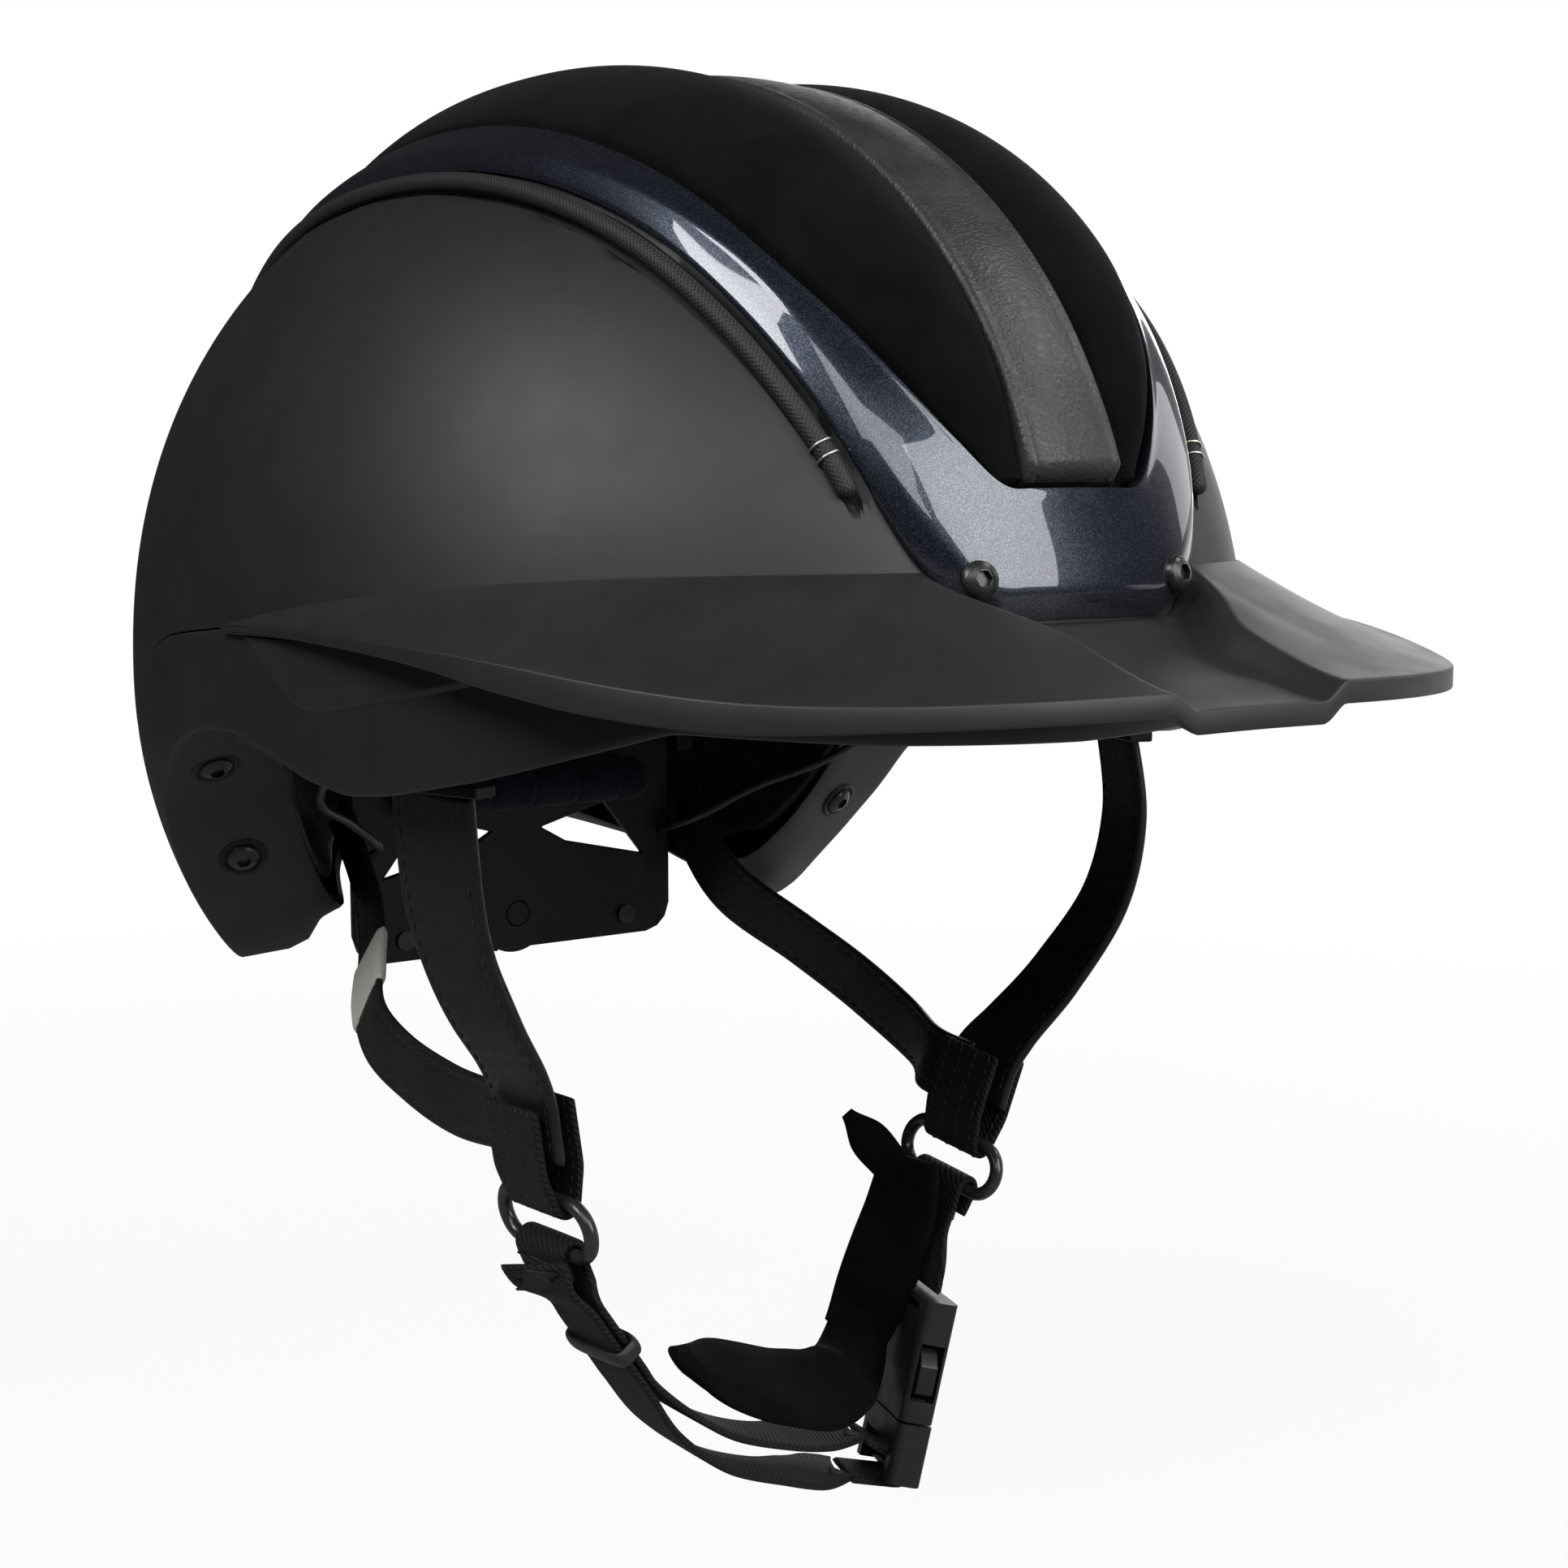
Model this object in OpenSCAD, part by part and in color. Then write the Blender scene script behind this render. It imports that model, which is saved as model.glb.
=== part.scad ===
// Equestrian riding helmet with a harness that hangs from it.
// +X is the wearer's left, -Y is the front and +Z is up. The origin is the middle of the head opening,
// level with the side rim where the front straps come out.

/* [Shell] */
// Half width of the outer shell
shell_half_width = 105.8; // [100:0.1:112]
// Half length of the outer shell
shell_half_length = 141; // [134:0.5:148]
// Height of the crown above the widest level
shell_crown = 120.5; // [114:0.5:126]
// Height of the widest level
shell_level = 14.3; // [12:0.1:17]
// Power of the dome's curve, where 2 is an ellipse
shell_power = 2.15; // [2:0.01:2.3]
// How far the neck tucks in at the lobe tips, as a share of the width
neck_tuck = 0.055; // [0.02:0.005:0.08]
// Thickness of the hard shells
shell_wall = 2.6; // [2:0.1:3.4]
// Gap between the upper and the lower shell
shell_seam = 0.4; // [0.3:0.1:0.8]
// Width of the inward flange along the rim
rim_flange = 4.5; // [3.5:0.5:7]
// How far the foam stands back from the lobe faces
foam_lift = 4; // [2:0.5:6]
// Width of the lobes' front faces
lobe_face = 27; // [22:1:30]
// How much the lobe faces rise towards the head
lobe_rise = 5; // [2:0.5:8]

/* [Foam liner and pads] */
// Gap between the shells and the foam liner
liner_gap = 0.5; // [0.4:0.1:0.8]
// Half width of the head cavity
cavity_half_width = 78; // [74:0.5:79]
// Half length of the head cavity
cavity_half_length = 105; // [100:0.5:107]
// Height of the head cavity above the widest level
cavity_crown = 93; // [88:0.5:95]
// Thickness of the comfort pads
pad_thick = 6; // [4:0.5:8]
// Gap between the pads and the foam
pad_gap = 0.9; // [0.8:0.1:1.2]

/* [Visor] */
// How far the visor's outline stands out beyond the shell's widest line
visor_overhang = 0.2; // [0:0.1:4]
// Length of the visor's outline from its middle to its front edge
visor_length = 144; // [138:0.5:150]
// Where the visor's outline is widest, behind the front
visor_mid_y = -40; // [-46:1:-36]
// Power of the visor's outline
visor_power = 2.6; // [2.3:0.05:2.9]
// Height of the visor's front edge
visor_lip_z = 24; // [20:0.5:28]
// Height of the visor's root on the shell
visor_root_z = 42; // [38:0.5:46]
// Thickness of the visor's sheet
visor_wall = 3; // [2.4:0.1:4]
// Half width of the valley along the visor's middle
valley_half_width = 20; // [17:0.5:23]
// Drop of the valley's root below the ridges, to the frame's lower edge
root_drop = 9; // [8.5:0.1:10]
// Depth of the valley at the front edge
valley_depth = 3.2; // [2:0.2:4]

/* [Centre frame and insert] */
// Height of the glossy frame above the shell
frame_rise = 3.4; // [2.8:0.1:4.5]
// Half width of the frame's front plate at its bottom edge
plate_half_width = 21; // [18:0.5:24]
// Half width of the leather centre strip
strip_half_width = 10.5; // [9:0.25:12]
// Height of the leather strip above the shell
strip_rise = 6; // [4.5:0.25:7.5]
// Height of the suede panels above the shell at their fullest
panel_rise = 8.5; // [6:0.5:10]
// Gap under everything that lies on the shell
seat_gap = 0.5; // [0.4:0.1:0.7]
// Radius of the braided trim cord
cord_r = 1.8; // [1.4:0.1:2.1]
// Distance of the frame screws from the middle
frame_screw_x = 22.7; // [20:0.1:24.5]
// Height of the frame screws
frame_screw_z = 40; // [38.5:0.25:42]
// Radius of the frame screws' heads
frame_screw_r = 3.4; // [2.8:0.1:4]
// Radius of the screws in the lobe faces
lobe_screw_r = 3.6; // [3:0.1:4.2]

/* [Rear cradle] */
// Half width of the cradle plate
cradle_half_width = 44; // [40:0.5:46]
// Height of the cradle plate
cradle_height = 55; // [50:0.5:58]
// Level of the cradle plate's lower edge
cradle_low = -58.5; // [-60:0.5:-56]
// Front face of the cradle plate
cradle_y = 66.4; // [64:0.2:68]
// Thickness of the cradle plate
cradle_wall = 2; // [1.6:0.1:2.6]
// Radius of the dial
dial_r = 11; // [9:0.5:12]
// Depth of the dial
dial_depth = 8; // [6:0.5:9.5]
// Level of the dial's axis
dial_z = -50; // [-51:0.5:-48]
// Radius of the dial's shaft
dial_shaft_r = 3; // [2.4:0.1:3.5]
// Running clearance of the shaft, on the radius
shaft_gap = 0.08; // [0.05:0.01:0.1]
// Depth of the dial's housing
housing_depth = 7; // [6:0.5:8.5]
// Radius of the tension cables
cable_r = 1; // [0.8:0.1:1.2]

/* [Straps] */
// Width of the leather straps
strap_width = 20; // [18:0.5:21]
// Thickness of the leather straps
strap_thick = 2.4; // [1.8:0.1:2.8]
// Width of the chin webbing
web_width = 16; // [14:0.5:16.5]
// Thickness of the webbing
web_thick = 1.5; // [1.2:0.1:1.8]
// Radius of the oval rings' wire
ring_wire = 1.5; // [1.2:0.1:1.8]
// Height of the oval rings between wire centres
ring_height = 11; // [9.5:0.5:12]
// Clearance between straps, rings and webbing
soft_gap = 0.4; // [0.3:0.05:0.5]

/* [Buckle] */
// Width of the buckle
buckle_width = 25; // [23:0.5:28]
// Thickness of the buckle
buckle_thick = 8; // [7.4:0.1:9]
// Length of the buckle's socket
socket_length = 27; // [25:0.5:30]
// Wall of the buckle's socket
socket_wall = 1.5; // [1.2:0.1:1.7]
// Clearance between the prongs and the socket
prong_gap = 0.4; // [0.3:0.05:0.5]

/* [Hidden] */
$fn = 48;

// ---- small helpers ----
function unit(v) = v / norm(v);
function spow(w, e) = sign(w) * pow(abs(w), e);
function mix(p, q, f) = p + (q - p) * f;
function clamp(v, lo, hi) = min(max(v, lo), hi);
function smooth(f) = let (c = clamp(f, 0, 1)) c * c * (3 - 2 * c);
function flat(rows) = [for (row = rows) each row];
// A smooth curve through the points k, at u = 0 to len(k) - 1
function through(k, u) = let (
    i = clamp(floor(u), 0, len(k) - 2), f = u - i,
    p0 = k[max(i - 1, 0)], p1 = k[i], p2 = k[i + 1], p3 = k[min(i + 2, len(k) - 1)])
    0.5 * (2 * p1 + (p2 - p0) * f + (2 * p0 - 5 * p1 + 4 * p2 - p3) * f * f
        + (3 * p1 - p0 - 3 * p2 + p3) * f * f * f);
function sampled(k, n) = [for (i = [0:n]) through(k, i * (len(k) - 1) / n)];

// A closed solid through rings of points; loop joins the last ring to the first
module loft(rings, loop = false) {
    n = len(rings);
    m = len(rings[0]);
    steps = loop ? n : n - 1;
    sides = [for (i = [0:steps - 1], k = [0:m - 1]) let (
        j = (i + 1) % n, l = (k + 1) % m,
        a = i * m + k, b = i * m + l, c = j * m + l, d = j * m + k) each [[a, c, b], [a, d, c]]];
    ends = loop ? [] : [[for (k = [0:m - 1]) k], [for (k = [m - 1:-1:0]) (n - 1) * m + k]];
    polyhedron(points = flat(rings), faces = concat(sides, ends), convexity = 8);
}

// A bowl between an outer and an inner net: rows run from the rim to the crown, which is capped
module bowl(outer, inner) {
    n = len(outer);
    m = len(outer[0]);
    base = n * m;
    walls = [for (i = [0:n - 2], k = [0:m - 1]) let (
        l = (k + 1) % m, a = i * m + k, b = i * m + l, c = (i + 1) * m + l, d = (i + 1) * m + k)
        each [[a, c, b], [a, d, c], [base + a, base + b, base + c], [base + a, base + c, base + d]]];
    rim = [for (k = [0:m - 1]) let (l = (k + 1) % m) each [[k, l, base + l], [k, base + l, base + k]]];
    caps = [[for (k = [m - 1:-1:0]) (n - 1) * m + k], [for (k = [0:m - 1]) base + (n - 1) * m + k]];
    polyhedron(points = concat(flat(outer), flat(inner)), faces = concat(walls, rim, caps),
        convexity = 8);
}

// A flat strip along centre points, with a width direction at each; both are smoothed first
function strip_rings(centres, across, widths, thick, n) = let (
    c = sampled(centres, n), w = sampled(across, n),
    wide = is_list(widths) ? sampled(widths, n) : [for (i = [0:n]) widths])
    [for (i = [0:n]) let (
        t = unit(c[min(i + 1, n)] - c[max(i - 1, 0)]),
        side = unit(w[i] - t * (w[i] * t)) * wide[i] / 2,
        up = unit(cross(t, side)) * thick / 2)
        [c[i] - side - up, c[i] + side - up, c[i] + side + up, c[i] - side + up]];
// The same, with the corners kept sharp
function fold_rings(c, side_dir, width, thick) = let (n = len(c) - 1)
    [for (i = [0:n]) let (
        t_in = unit(c[max(i, 1)] - c[max(i, 1) - 1]),
        t_out = unit(c[min(i, n - 1) + 1] - c[min(i, n - 1)]),
        t = unit(t_in + t_out),
        side = side_dir * width / 2,
        up = unit(cross(t, side)) * thick / 2 / sqrt((1 + t_in * t_out) / 2))
        [c[i] - side - up, c[i] + side - up, c[i] + side + up, c[i] - side + up]];
// A round cord along points
function cord_rings(c, r, sides) = let (n = len(c) - 1)
    [for (i = [0:n]) let (
        t = unit(c[min(i + 1, n)] - c[max(i - 1, 0)]),
        e = unit(cross(t, abs(t[2]) < 0.9 ? [0, 0, 1] : [1, 0, 0])), f = cross(t, e))
        [for (k = [0:sides - 1]) c[i] + r * (cos(360 * k / sides) * e + sin(360 * k / sides) * f)]];

// Puts its children at a point with their own x, y and z axes along the given directions
module placed(at, x, y, z) {
    multmatrix([[x[0], y[0], z[0], at[0]], [x[1], y[1], z[1], at[1]],
        [x[2], y[2], z[2], at[2]], [0, 0, 0, 1]]) children();
}
module both_sides() { children(); mirror([1, 0, 0]) children(); }

// ---- the dome ----
half_power = shell_power / 2;
shell_axes = [shell_half_width, shell_half_length, shell_crown];
cavity_axes = [cavity_half_width, cavity_half_length, cavity_crown];
lobe_tip_z = -52;
function grown(axes, off) = [axes[0] + off, axes[1] + off, axes[2] + off];
function neck(z) = z > shell_level ? 1
    : 1 - neck_tuck * pow((shell_level - z) / (shell_level - lobe_tip_z), 2);
// The point of a dome with the given half axes, in direction d
function on_dome(d, axes) = let (z = shell_level + axes[2] * spow(d[2], 1 / half_power))
    [axes[0] * spow(d[0], 1 / half_power) * neck(z), axes[1] * spow(d[1], 1 / half_power) * neck(z), z];
// The elevation of level z on a dome
function level_of(z, axes) = asin(clamp(spow((z - shell_level) / axes[2], half_power), -0.999, 0.999));
// The point at turn t, where 0 is the front and 90 the wearer's left, and at level z
function at_level(t, z, axes) = let (e = level_of(z, axes))
    on_dome([cos(e) * sin(t), -cos(e) * cos(t), sin(e)], axes);
// The point at distance x from the middle and arc p, where 0 is the front and 90 the crown
function at_arc(x, p, axes) = let (dx = spow(x / axes[0], half_power), r = sqrt(1 - dx * dx))
    on_dome([dx, -r * cos(p), r * sin(p)], axes);
// The outward normal of the shell near a point at_arc
function arc_normal(x, p) = unit(cross(
    at_arc(x + 0.5, p, shell_axes) - at_arc(x - 0.5, p, shell_axes),
    at_arc(x, p + 0.5, shell_axes) - at_arc(x, p - 0.5, shell_axes)));
// The arc of level z at distance x, on the shell
function arc_of(x, z) = let (dx = spow(x / shell_axes[0], half_power), r = sqrt(1 - dx * dx))
    asin(spow((z - shell_level) / shell_axes[2], half_power) / r);

// Heights of the rim at turns from the front, with the arch over the ear and the rear lobe
rim_heights = [[0, 12], [20, 13], [38, 15], [47, 10], [56, 5], [65, 1], [70, 0], [75, 2], [80, 6],
    [85, 8.7], [90, 8.5], [95, 4.5], [101, -4], [105, -13], [108, -23], [112.5, -35], [118, -48],
    [121, lobe_tip_z], [126, -51], [140, -42], [160, -33], [180, -30]];
// Heights of the seam between the upper and lower shells
seam_heights = [[0, 30], [85, 29.5], [97, 26], [104, 21], [109, 14], [114, 5], [122, -6],
    [135, -12], [180, -14]];
// How far along from the plain rim to the wide lobe face
lobe_share = [[0, 0], [88, 0], [97, 0.35], [104, 1], [180, 1]];
function turn_of(t) = t > 180 ? 360 - t : t;
function rim_z(t) = lookup(turn_of(t), rim_heights);
function seam_z(t) = lookup(turn_of(t), seam_heights);
function flange_of(t) = mix(rim_flange, lobe_face, lookup(turn_of(t), lobe_share));
function rise_of(t) = lobe_rise * lookup(turn_of(t), lobe_share);
half_turns = concat([for (t = [0:6:84]) t], [for (t = [88:4:128]) t], [for (t = [135:7.5:180]) t]);
turns = concat(half_turns, [for (i = [len(half_turns) - 2:-1:1]) 360 - half_turns[i]]);
crown_stop = 86;
function dome_rows(axes, low, n) = [for (i = [0:n]) [for (t = turns) let (
    e0 = level_of(low(t), axes), e = mix(e0, crown_stop, i / n))
    on_dome([cos(e) * sin(t), -cos(e) * cos(t), sin(e)], axes)]];

// Points placed by hand were set on a shell and a cavity of these sizes, and follow them when they change
function by_shell(p) = [p[0] * shell_half_width / 105.8, p[1] * shell_half_length / 141,
    p[2] * shell_crown / 120.5];
function by_cavity(p) = [p[0] * cavity_half_width / 78, p[1] * cavity_half_length / 105,
    p[2] * cavity_crown / 93];

// ---- shells and liner ----
module top_shell() {
    low = function(t) seam_z(t);
    color([0.16, 0.16, 0.17]) bowl(dome_rows(shell_axes, low, 9),
        dome_rows(grown(shell_axes, -shell_wall), low, 9));
}

function lower_ring(t) = let (
    inner = grown(shell_axes, -shell_wall), lip = grown(shell_axes, -flange_of(t)),
    top = seam_z(t) - shell_seam, low = rim_z(t), floor_z = low + shell_wall * 0.95)
    concat([for (i = [0:3]) at_level(t, mix(top, low, i / 3), shell_axes)],
        [at_level(t, low + rise_of(t), lip), at_level(t, floor_z + rise_of(t), lip)],
        [for (i = [0:3]) at_level(t, mix(floor_z, top, i / 3), inner)]);
module lower_shell() {
    color([0.15, 0.15, 0.16]) loft([for (t = turns) lower_ring(t)], loop = true);
}

foam_axes = grown(shell_axes, -shell_wall - liner_gap);
// The foam's rows match the two shells' rows, so its faces lie evenly behind theirs
function foam_low(t) = rim_z(t) + shell_wall + liner_gap + foam_lift * lookup(turn_of(t), lobe_share);
function foam_rows(axes, rise) = concat(
    [for (i = [0:2]) [for (t = turns)
        at_level(t, mix(foam_low(t) + rise * rise_of(t), seam_z(t), i / 3), axes)]],
    dome_rows(axes, function(t) seam_z(t), 9));
module eps_liner() {
    color([0.08, 0.08, 0.09]) bowl(foam_rows(foam_axes, 0), foam_rows(cavity_axes, 1));
}

// A pad on the cavity: a patch of at_level points between two turns and two levels
module wall_pad(t0, t1, z0, z1, n) {
    outer = grown(cavity_axes, -pad_gap);
    inner = grown(cavity_axes, -pad_gap - pad_thick);
    mid = grown(cavity_axes, -pad_gap - pad_thick * 0.5);
    loft([for (i = [0:n]) let (t = mix(t0, t1, i / n), end = (i == 0 || i == n),
        face = end ? mid : inner, cut = end ? 3 : 0)
        concat([for (k = [0:3]) at_level(t, mix(z0 + cut, z1 - cut, k / 3), outer)],
            [for (k = [0:3]) at_level(t, mix(z1 - 2 - cut, z0 + 2 + cut, k / 3), face)])]);
}
module brow_pad() { color([0.05, 0.05, 0.07]) wall_pad(62, -62, 18, 46, 14); }
module temple_pad_left() { color([0.05, 0.05, 0.07]) wall_pad(122, 72, 24, 56, 8); }
module temple_pad_right() { color([0.05, 0.05, 0.07]) wall_pad(-72, -122, 24, 56, 8); }
module crown_pad() {
    outer = grown(cavity_axes, -pad_gap);
    inner = grown(cavity_axes, -pad_gap - pad_thick);
    color([0.05, 0.05, 0.07]) loft([for (i = [0:10]) let (p = mix(48, 132, i / 10),
        w = 34 * sqrt(max(0.12, 1 - pow((p - 90) / 46, 2))))
        concat([for (k = [-3:3]) at_arc(w * k / 3, p, outer)],
            [for (k = [3:-1:-3]) at_arc((w - 2) * k / 3, p, inner)])]);
}

// ---- visor ----
visor_half_width = shell_half_width + visor_overhang;
visor_tail_y = -12.6;
visor_root = function(t) visor_root_z - 13 * pow(abs(t) / 87, 3.5);
lip_dip = [[0, 1.2], [30, 0], [40, 0], [46, 0.4], [52, 1.3], [59, 2.7], [65, 4.1], [72, 5.4],
    [82, 6.3], [90, 6.3], [100, 5.5]];
lip_band = [[0, 3.9], [30, 4.1], [45, 5.2], [60, 5.5], [68, 4.8], [76, 3], [90, 1.6], [100, 1.2]];
// The lip's top edge at turn t of the visor's own outline; past 90 it runs back to the tail
function lip_point(t) = let (s = abs(t), q = min(s, 90), tail = clamp((s - 90) / 10, 0, 1),
    e = 2 / visor_power, x = visor_half_width * pow(sin(q), e),
    y = visor_mid_y - visor_length * pow(cos(q), e), z = visor_lip_z + lookup(s, lip_dip))
    [sign(t) * mix(x, shell_half_width + 0.6, tail), mix(y, visor_tail_y, tail), z];
// The root's turn on the dome that belongs to turn t of the outline
function root_turn(t) = t * 0.855;
root_axes = grown(shell_axes, seat_gap);
// The valley is a trough between two ridges that start at the frame's corners
function ridge_x(s) = mix(valley_half_width + 11.4, valley_half_width, smooth(s / 0.5));
function trough(x, s) = mix(root_drop, valley_depth, smooth(s * 1.2))
    * smooth((ridge_x(s) - abs(x)) / mix(10, 6, s));
// A point of the sheet, at share s from root to lip and at depth d under its top
function visor_point(t, s, d) = let (rt = root_turn(t), high = visor_root(rt),
    x0 = at_level(rt, high, root_axes)[0],
    root = at_level(rt, high - trough(x0, 0) - d, root_axes),
    lip = lip_point(t), xy = mix(root, lip, s))
    [xy[0], xy[1], lip[2] + (high - lip[2]) * pow(1 - s, 1.35) - trough(xy[0], s) - d];
function visor_top(t, s) = visor_point(t, s, 0);
function visor_low(t, s) = let (far = lookup(abs(t), lip_band))
    visor_point(t, s, mix(min(visor_wall, far + 0.4), far, smooth((s - 0.85) / 0.1)));
visor_turns = concat([for (t = [-100:5:-25]) t], [-20, -16, -13, -10, -8, -6, -4, -2, 0,
    2, 4, 6, 8, 10, 13, 16, 20], [for (t = [25:5:100]) t]);
visor_steps = [0, 0.2, 0.4, 0.6, 0.8, 0.93, 1];
module visor() {
    color([0.19, 0.19, 0.2]) loft([for (t = visor_turns) concat(
        [for (s = visor_steps) visor_top(t, s)],
        [for (i = [len(visor_steps) - 1:-1:0]) visor_low(t, visor_steps[i])])]);
}

// ---- centre frame, suede panels and leather strip ----
// Half outlines of the frame in distance from the middle and arc, from front to rear
frame_inner = [[0, 18.2], [9, 18.2], [15, 18.5], [20, 21], [27, 26.5], [34, 34], [40, 42.5],
    [44.5, 54], [48, 66], [50, 80], [50.5, 95], [49, 112], [44, 130], [34, 145], [20, 154],
    [8, 157], [0, 157]];
frame_outer = [[0, 8], [plate_half_width * 0.6, 8], [plate_half_width, 8.4], [29.5, 11.8], [35.5, 17.5],
    [42, 29], [47.5, 41], [52.3, 54], [56, 66], [59, 80], [60.5, 95], [60, 112], [56, 131],
    [46, 149], [28, 161], [11, 165.5], [0, 165.5]];
function frame_rib(u, side) = let (i = through(frame_inner, u), o = through(frame_outer, u),
    c = mix(o, i, 0.28), foot = grown(shell_axes, seat_gap), mid = mix(i, o, 0.5),
    top = grown(shell_axes, frame_rise), high = grown(shell_axes, frame_rise + 0.5))
    [at_arc(side * i[0], i[1], foot), at_arc(side * i[0], i[1], high),
        at_arc(side * mid[0], mid[1], top), at_arc(side * c[0], c[1], top),
        at_arc(side * o[0], o[1], grown(shell_axes, frame_rise * 0.45)),
        at_arc(side * o[0], o[1], foot), at_arc(side * mid[0], mid[1], foot)];
frame_n = 34;
module centre_frame() {
    last = len(frame_inner) - 1;
    color([0.1, 0.13, 0.2]) loft(concat(
        [for (i = [0:frame_n]) frame_rib(i * last / frame_n, 1)],
        [for (i = [frame_n - 1:-1:1]) frame_rib(i * last / frame_n, -1)]), loop = true);
}
// Half width of the frame's opening at arc p, between its front and rear edges
opening_arcs = [[18.5, 15], [21, 20], [26.5, 27], [34, 34], [42.5, 40], [54, 44.5], [66, 48], [80, 50],
    [95, 50.5], [112, 49], [130, 44], [145, 34], [154, 20]];
panel_front = 19;
panel_rear = 154.5;
module suede_panel(side) {
    n = 26;
    foot = grown(shell_axes, seat_gap);
    loft([for (i = [0:n]) let (
        p = mix(panel_front, panel_rear, i / n),
        x0 = strip_half_width + 0.4, x1 = max(lookup(p, opening_arcs) - 1.1, x0 + 1.5),
        full = smooth((p - panel_front) / 12) * smooth((panel_rear - p) / 14),
        edge = 1.6 + seat_gap)
        concat([for (k = [0:3]) at_arc(side * mix(x0, x1, k / 3), p, foot)],
            [for (k = [6:-1:0]) let (f = k / 6,
                bulge = (0.25 + 0.75 * full) * pow(sin(180 * mix(0.1, 0.96, f)), 0.7),
                h = edge + (panel_rise - edge) * bulge)
                at_arc(side * mix(x0, x1, f), p, grown(shell_axes, h))])]);
}
module suede_panel_right() { color([0.02, 0.02, 0.02]) mirror([1, 0, 0]) suede_panel(1); }
module suede_panel_left() { color([0.02, 0.02, 0.02]) suede_panel(1); }

module centre_strip() {
    n = 30;
    foot = grown(shell_axes, seat_gap);
    w = strip_half_width;
    color([0.2, 0.2, 0.21]) loft([for (i = [0:n]) let (p = mix(18.7, 155, i / n))
        concat([for (k = [-1:1]) at_arc(w * k, p, foot)],
            [for (q = [[1, 0.75], [0.8, 0.97], [0, 1], [-0.8, 0.97], [-1, 0.75]])
                at_arc(w * q[0], p, grown(shell_axes, strip_rise * q[1]))])]);
}

// Four button screws hold the frame and the lobes: a domed head with a hexagon socket
module button_screw(r, head, shank) {
    difference() {
        union() {
            rotate_extrude() polygon(concat([[0, 0], [r, 0]],
                [for (a = [20:14:90]) [r * cos(a), head * sin(a)]], [[0, head]]));
            translate([0, 0, -shank]) cylinder(r = r * 0.42, h = shank + 0.2);
        }
        translate([0, 0, head * 0.35]) cylinder(r = r * 0.46, h = head, $fn = 6);
    }
}
module frame_screws() {
    p = arc_of(frame_screw_x, frame_screw_z);
    z = arc_normal(-frame_screw_x, p);
    x = unit(cross([0, 0, 1], z));
    color([0.05, 0.05, 0.05]) both_sides()
        placed(at_arc(-frame_screw_x, p, grown(shell_axes, frame_rise)), x, cross(z, x), z)
            button_screw(frame_screw_r, 2, 5);
}

// The lobe faces carry two screws each, at turns where the rim dips
lobe_screw_turns = [101.5, 109.8];
function face_point(t, f) = let (low = rim_z(t))
    mix(at_level(t, low, shell_axes), at_level(t, low + rise_of(t), grown(shell_axes, -flange_of(t))), f);
module lobe_screws() {
    color([0.05, 0.05, 0.05]) both_sides() for (t = lobe_screw_turns) {
        along = unit(face_point(t + 1, 0.5) - face_point(t - 1, 0.5));
        z = -unit(cross(along, face_point(t, 0.8) - face_point(t, 0.2)));
        x = unit(cross([0, 0, 1], z));
        placed(face_point(t, 0.5) + z * 0.15, x, cross(z, x), z)
            button_screw(lobe_screw_r, 1.8, 6);
    }
}

// ---- trim cords ----
cord_out = 3.6;
cord_high = seat_gap + 0.2 + cord_r;
cord_arcs = [for (i = [0:33]) mix(19, 150, i / 33)];
frame_edge = [[17.5, 35.5], [29, 42], [41, 47.5], [54, 52.3], [66, 56], [80, 59], [95, 60.5],
    [112, 60], [131, 56], [149, 46]];
function cord_point(p) = at_arc(lookup(p, frame_edge) + cord_out, p, grown(shell_axes, cord_high));
module trim_cord_left() {
    color([0.03, 0.03, 0.03]) loft(cord_rings([for (p = cord_arcs) cord_point(p)], cord_r, 6));
}
module trim_cord_right() { mirror([1, 0, 0]) trim_cord_left(); }
band_arcs = [24.2, 25.4];
module cord_bands() {
    color([0.75, 0.72, 0.6]) both_sides() for (p = band_arcs) {
        z = unit(cord_point(p + 0.5) - cord_point(p - 0.5));
        x = unit(cross([0, 0, 1], z));
        placed(cord_point(p), x, cross(z, x), z) rotate_extrude()
            translate([cord_r + 0.25, 0]) circle(r = 0.2, $fn = 16);
    }
}

// ---- rear cradle ----
// Half outline of the plate: a slanted foot corner and a rounded shoulder
cradle_top = cradle_low + cradle_height;
vent_corners = [[7, -29], [25, -24], [36, -38], [14, -33]];
module cradle_outline() {
    w = cradle_half_width;
    polygon([[-w, cradle_top - 5], [-w + 5, cradle_top], [w - 5, cradle_top], [w, cradle_top - 5],
        [w, cradle_low + 7], [w - 1.2, cradle_low + 3.4], [w - 3.4, cradle_low + 1.2], [w - 7, cradle_low],
        [-w + 7, cradle_low], [-w + 3.4, cradle_low + 1.2], [-w + 1.2, cradle_low + 3.4],
        [-w, cradle_low + 7]]);
}
module across_y(y, depth) {
    translate([0, y + depth, 0]) rotate([90, 0, 0]) linear_extrude(depth) children();
}
module cradle_plate() {
    color([0.04, 0.04, 0.04]) difference() {
        across_y(cradle_y, cradle_wall) difference() {
            cradle_outline();
            for (s = [-1, 1]) polygon([for (q = vent_corners) [s * q[0], q[1]]]);
        }
        translate([0, cradle_y - 1, dial_z]) rotate([-90, 0, 0])
            cylinder(r = dial_shaft_r + shaft_gap, h = cradle_wall + 2);
    }
}
rivet_x = 30.7;
rivet_z = cradle_low + 5.2;
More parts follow.
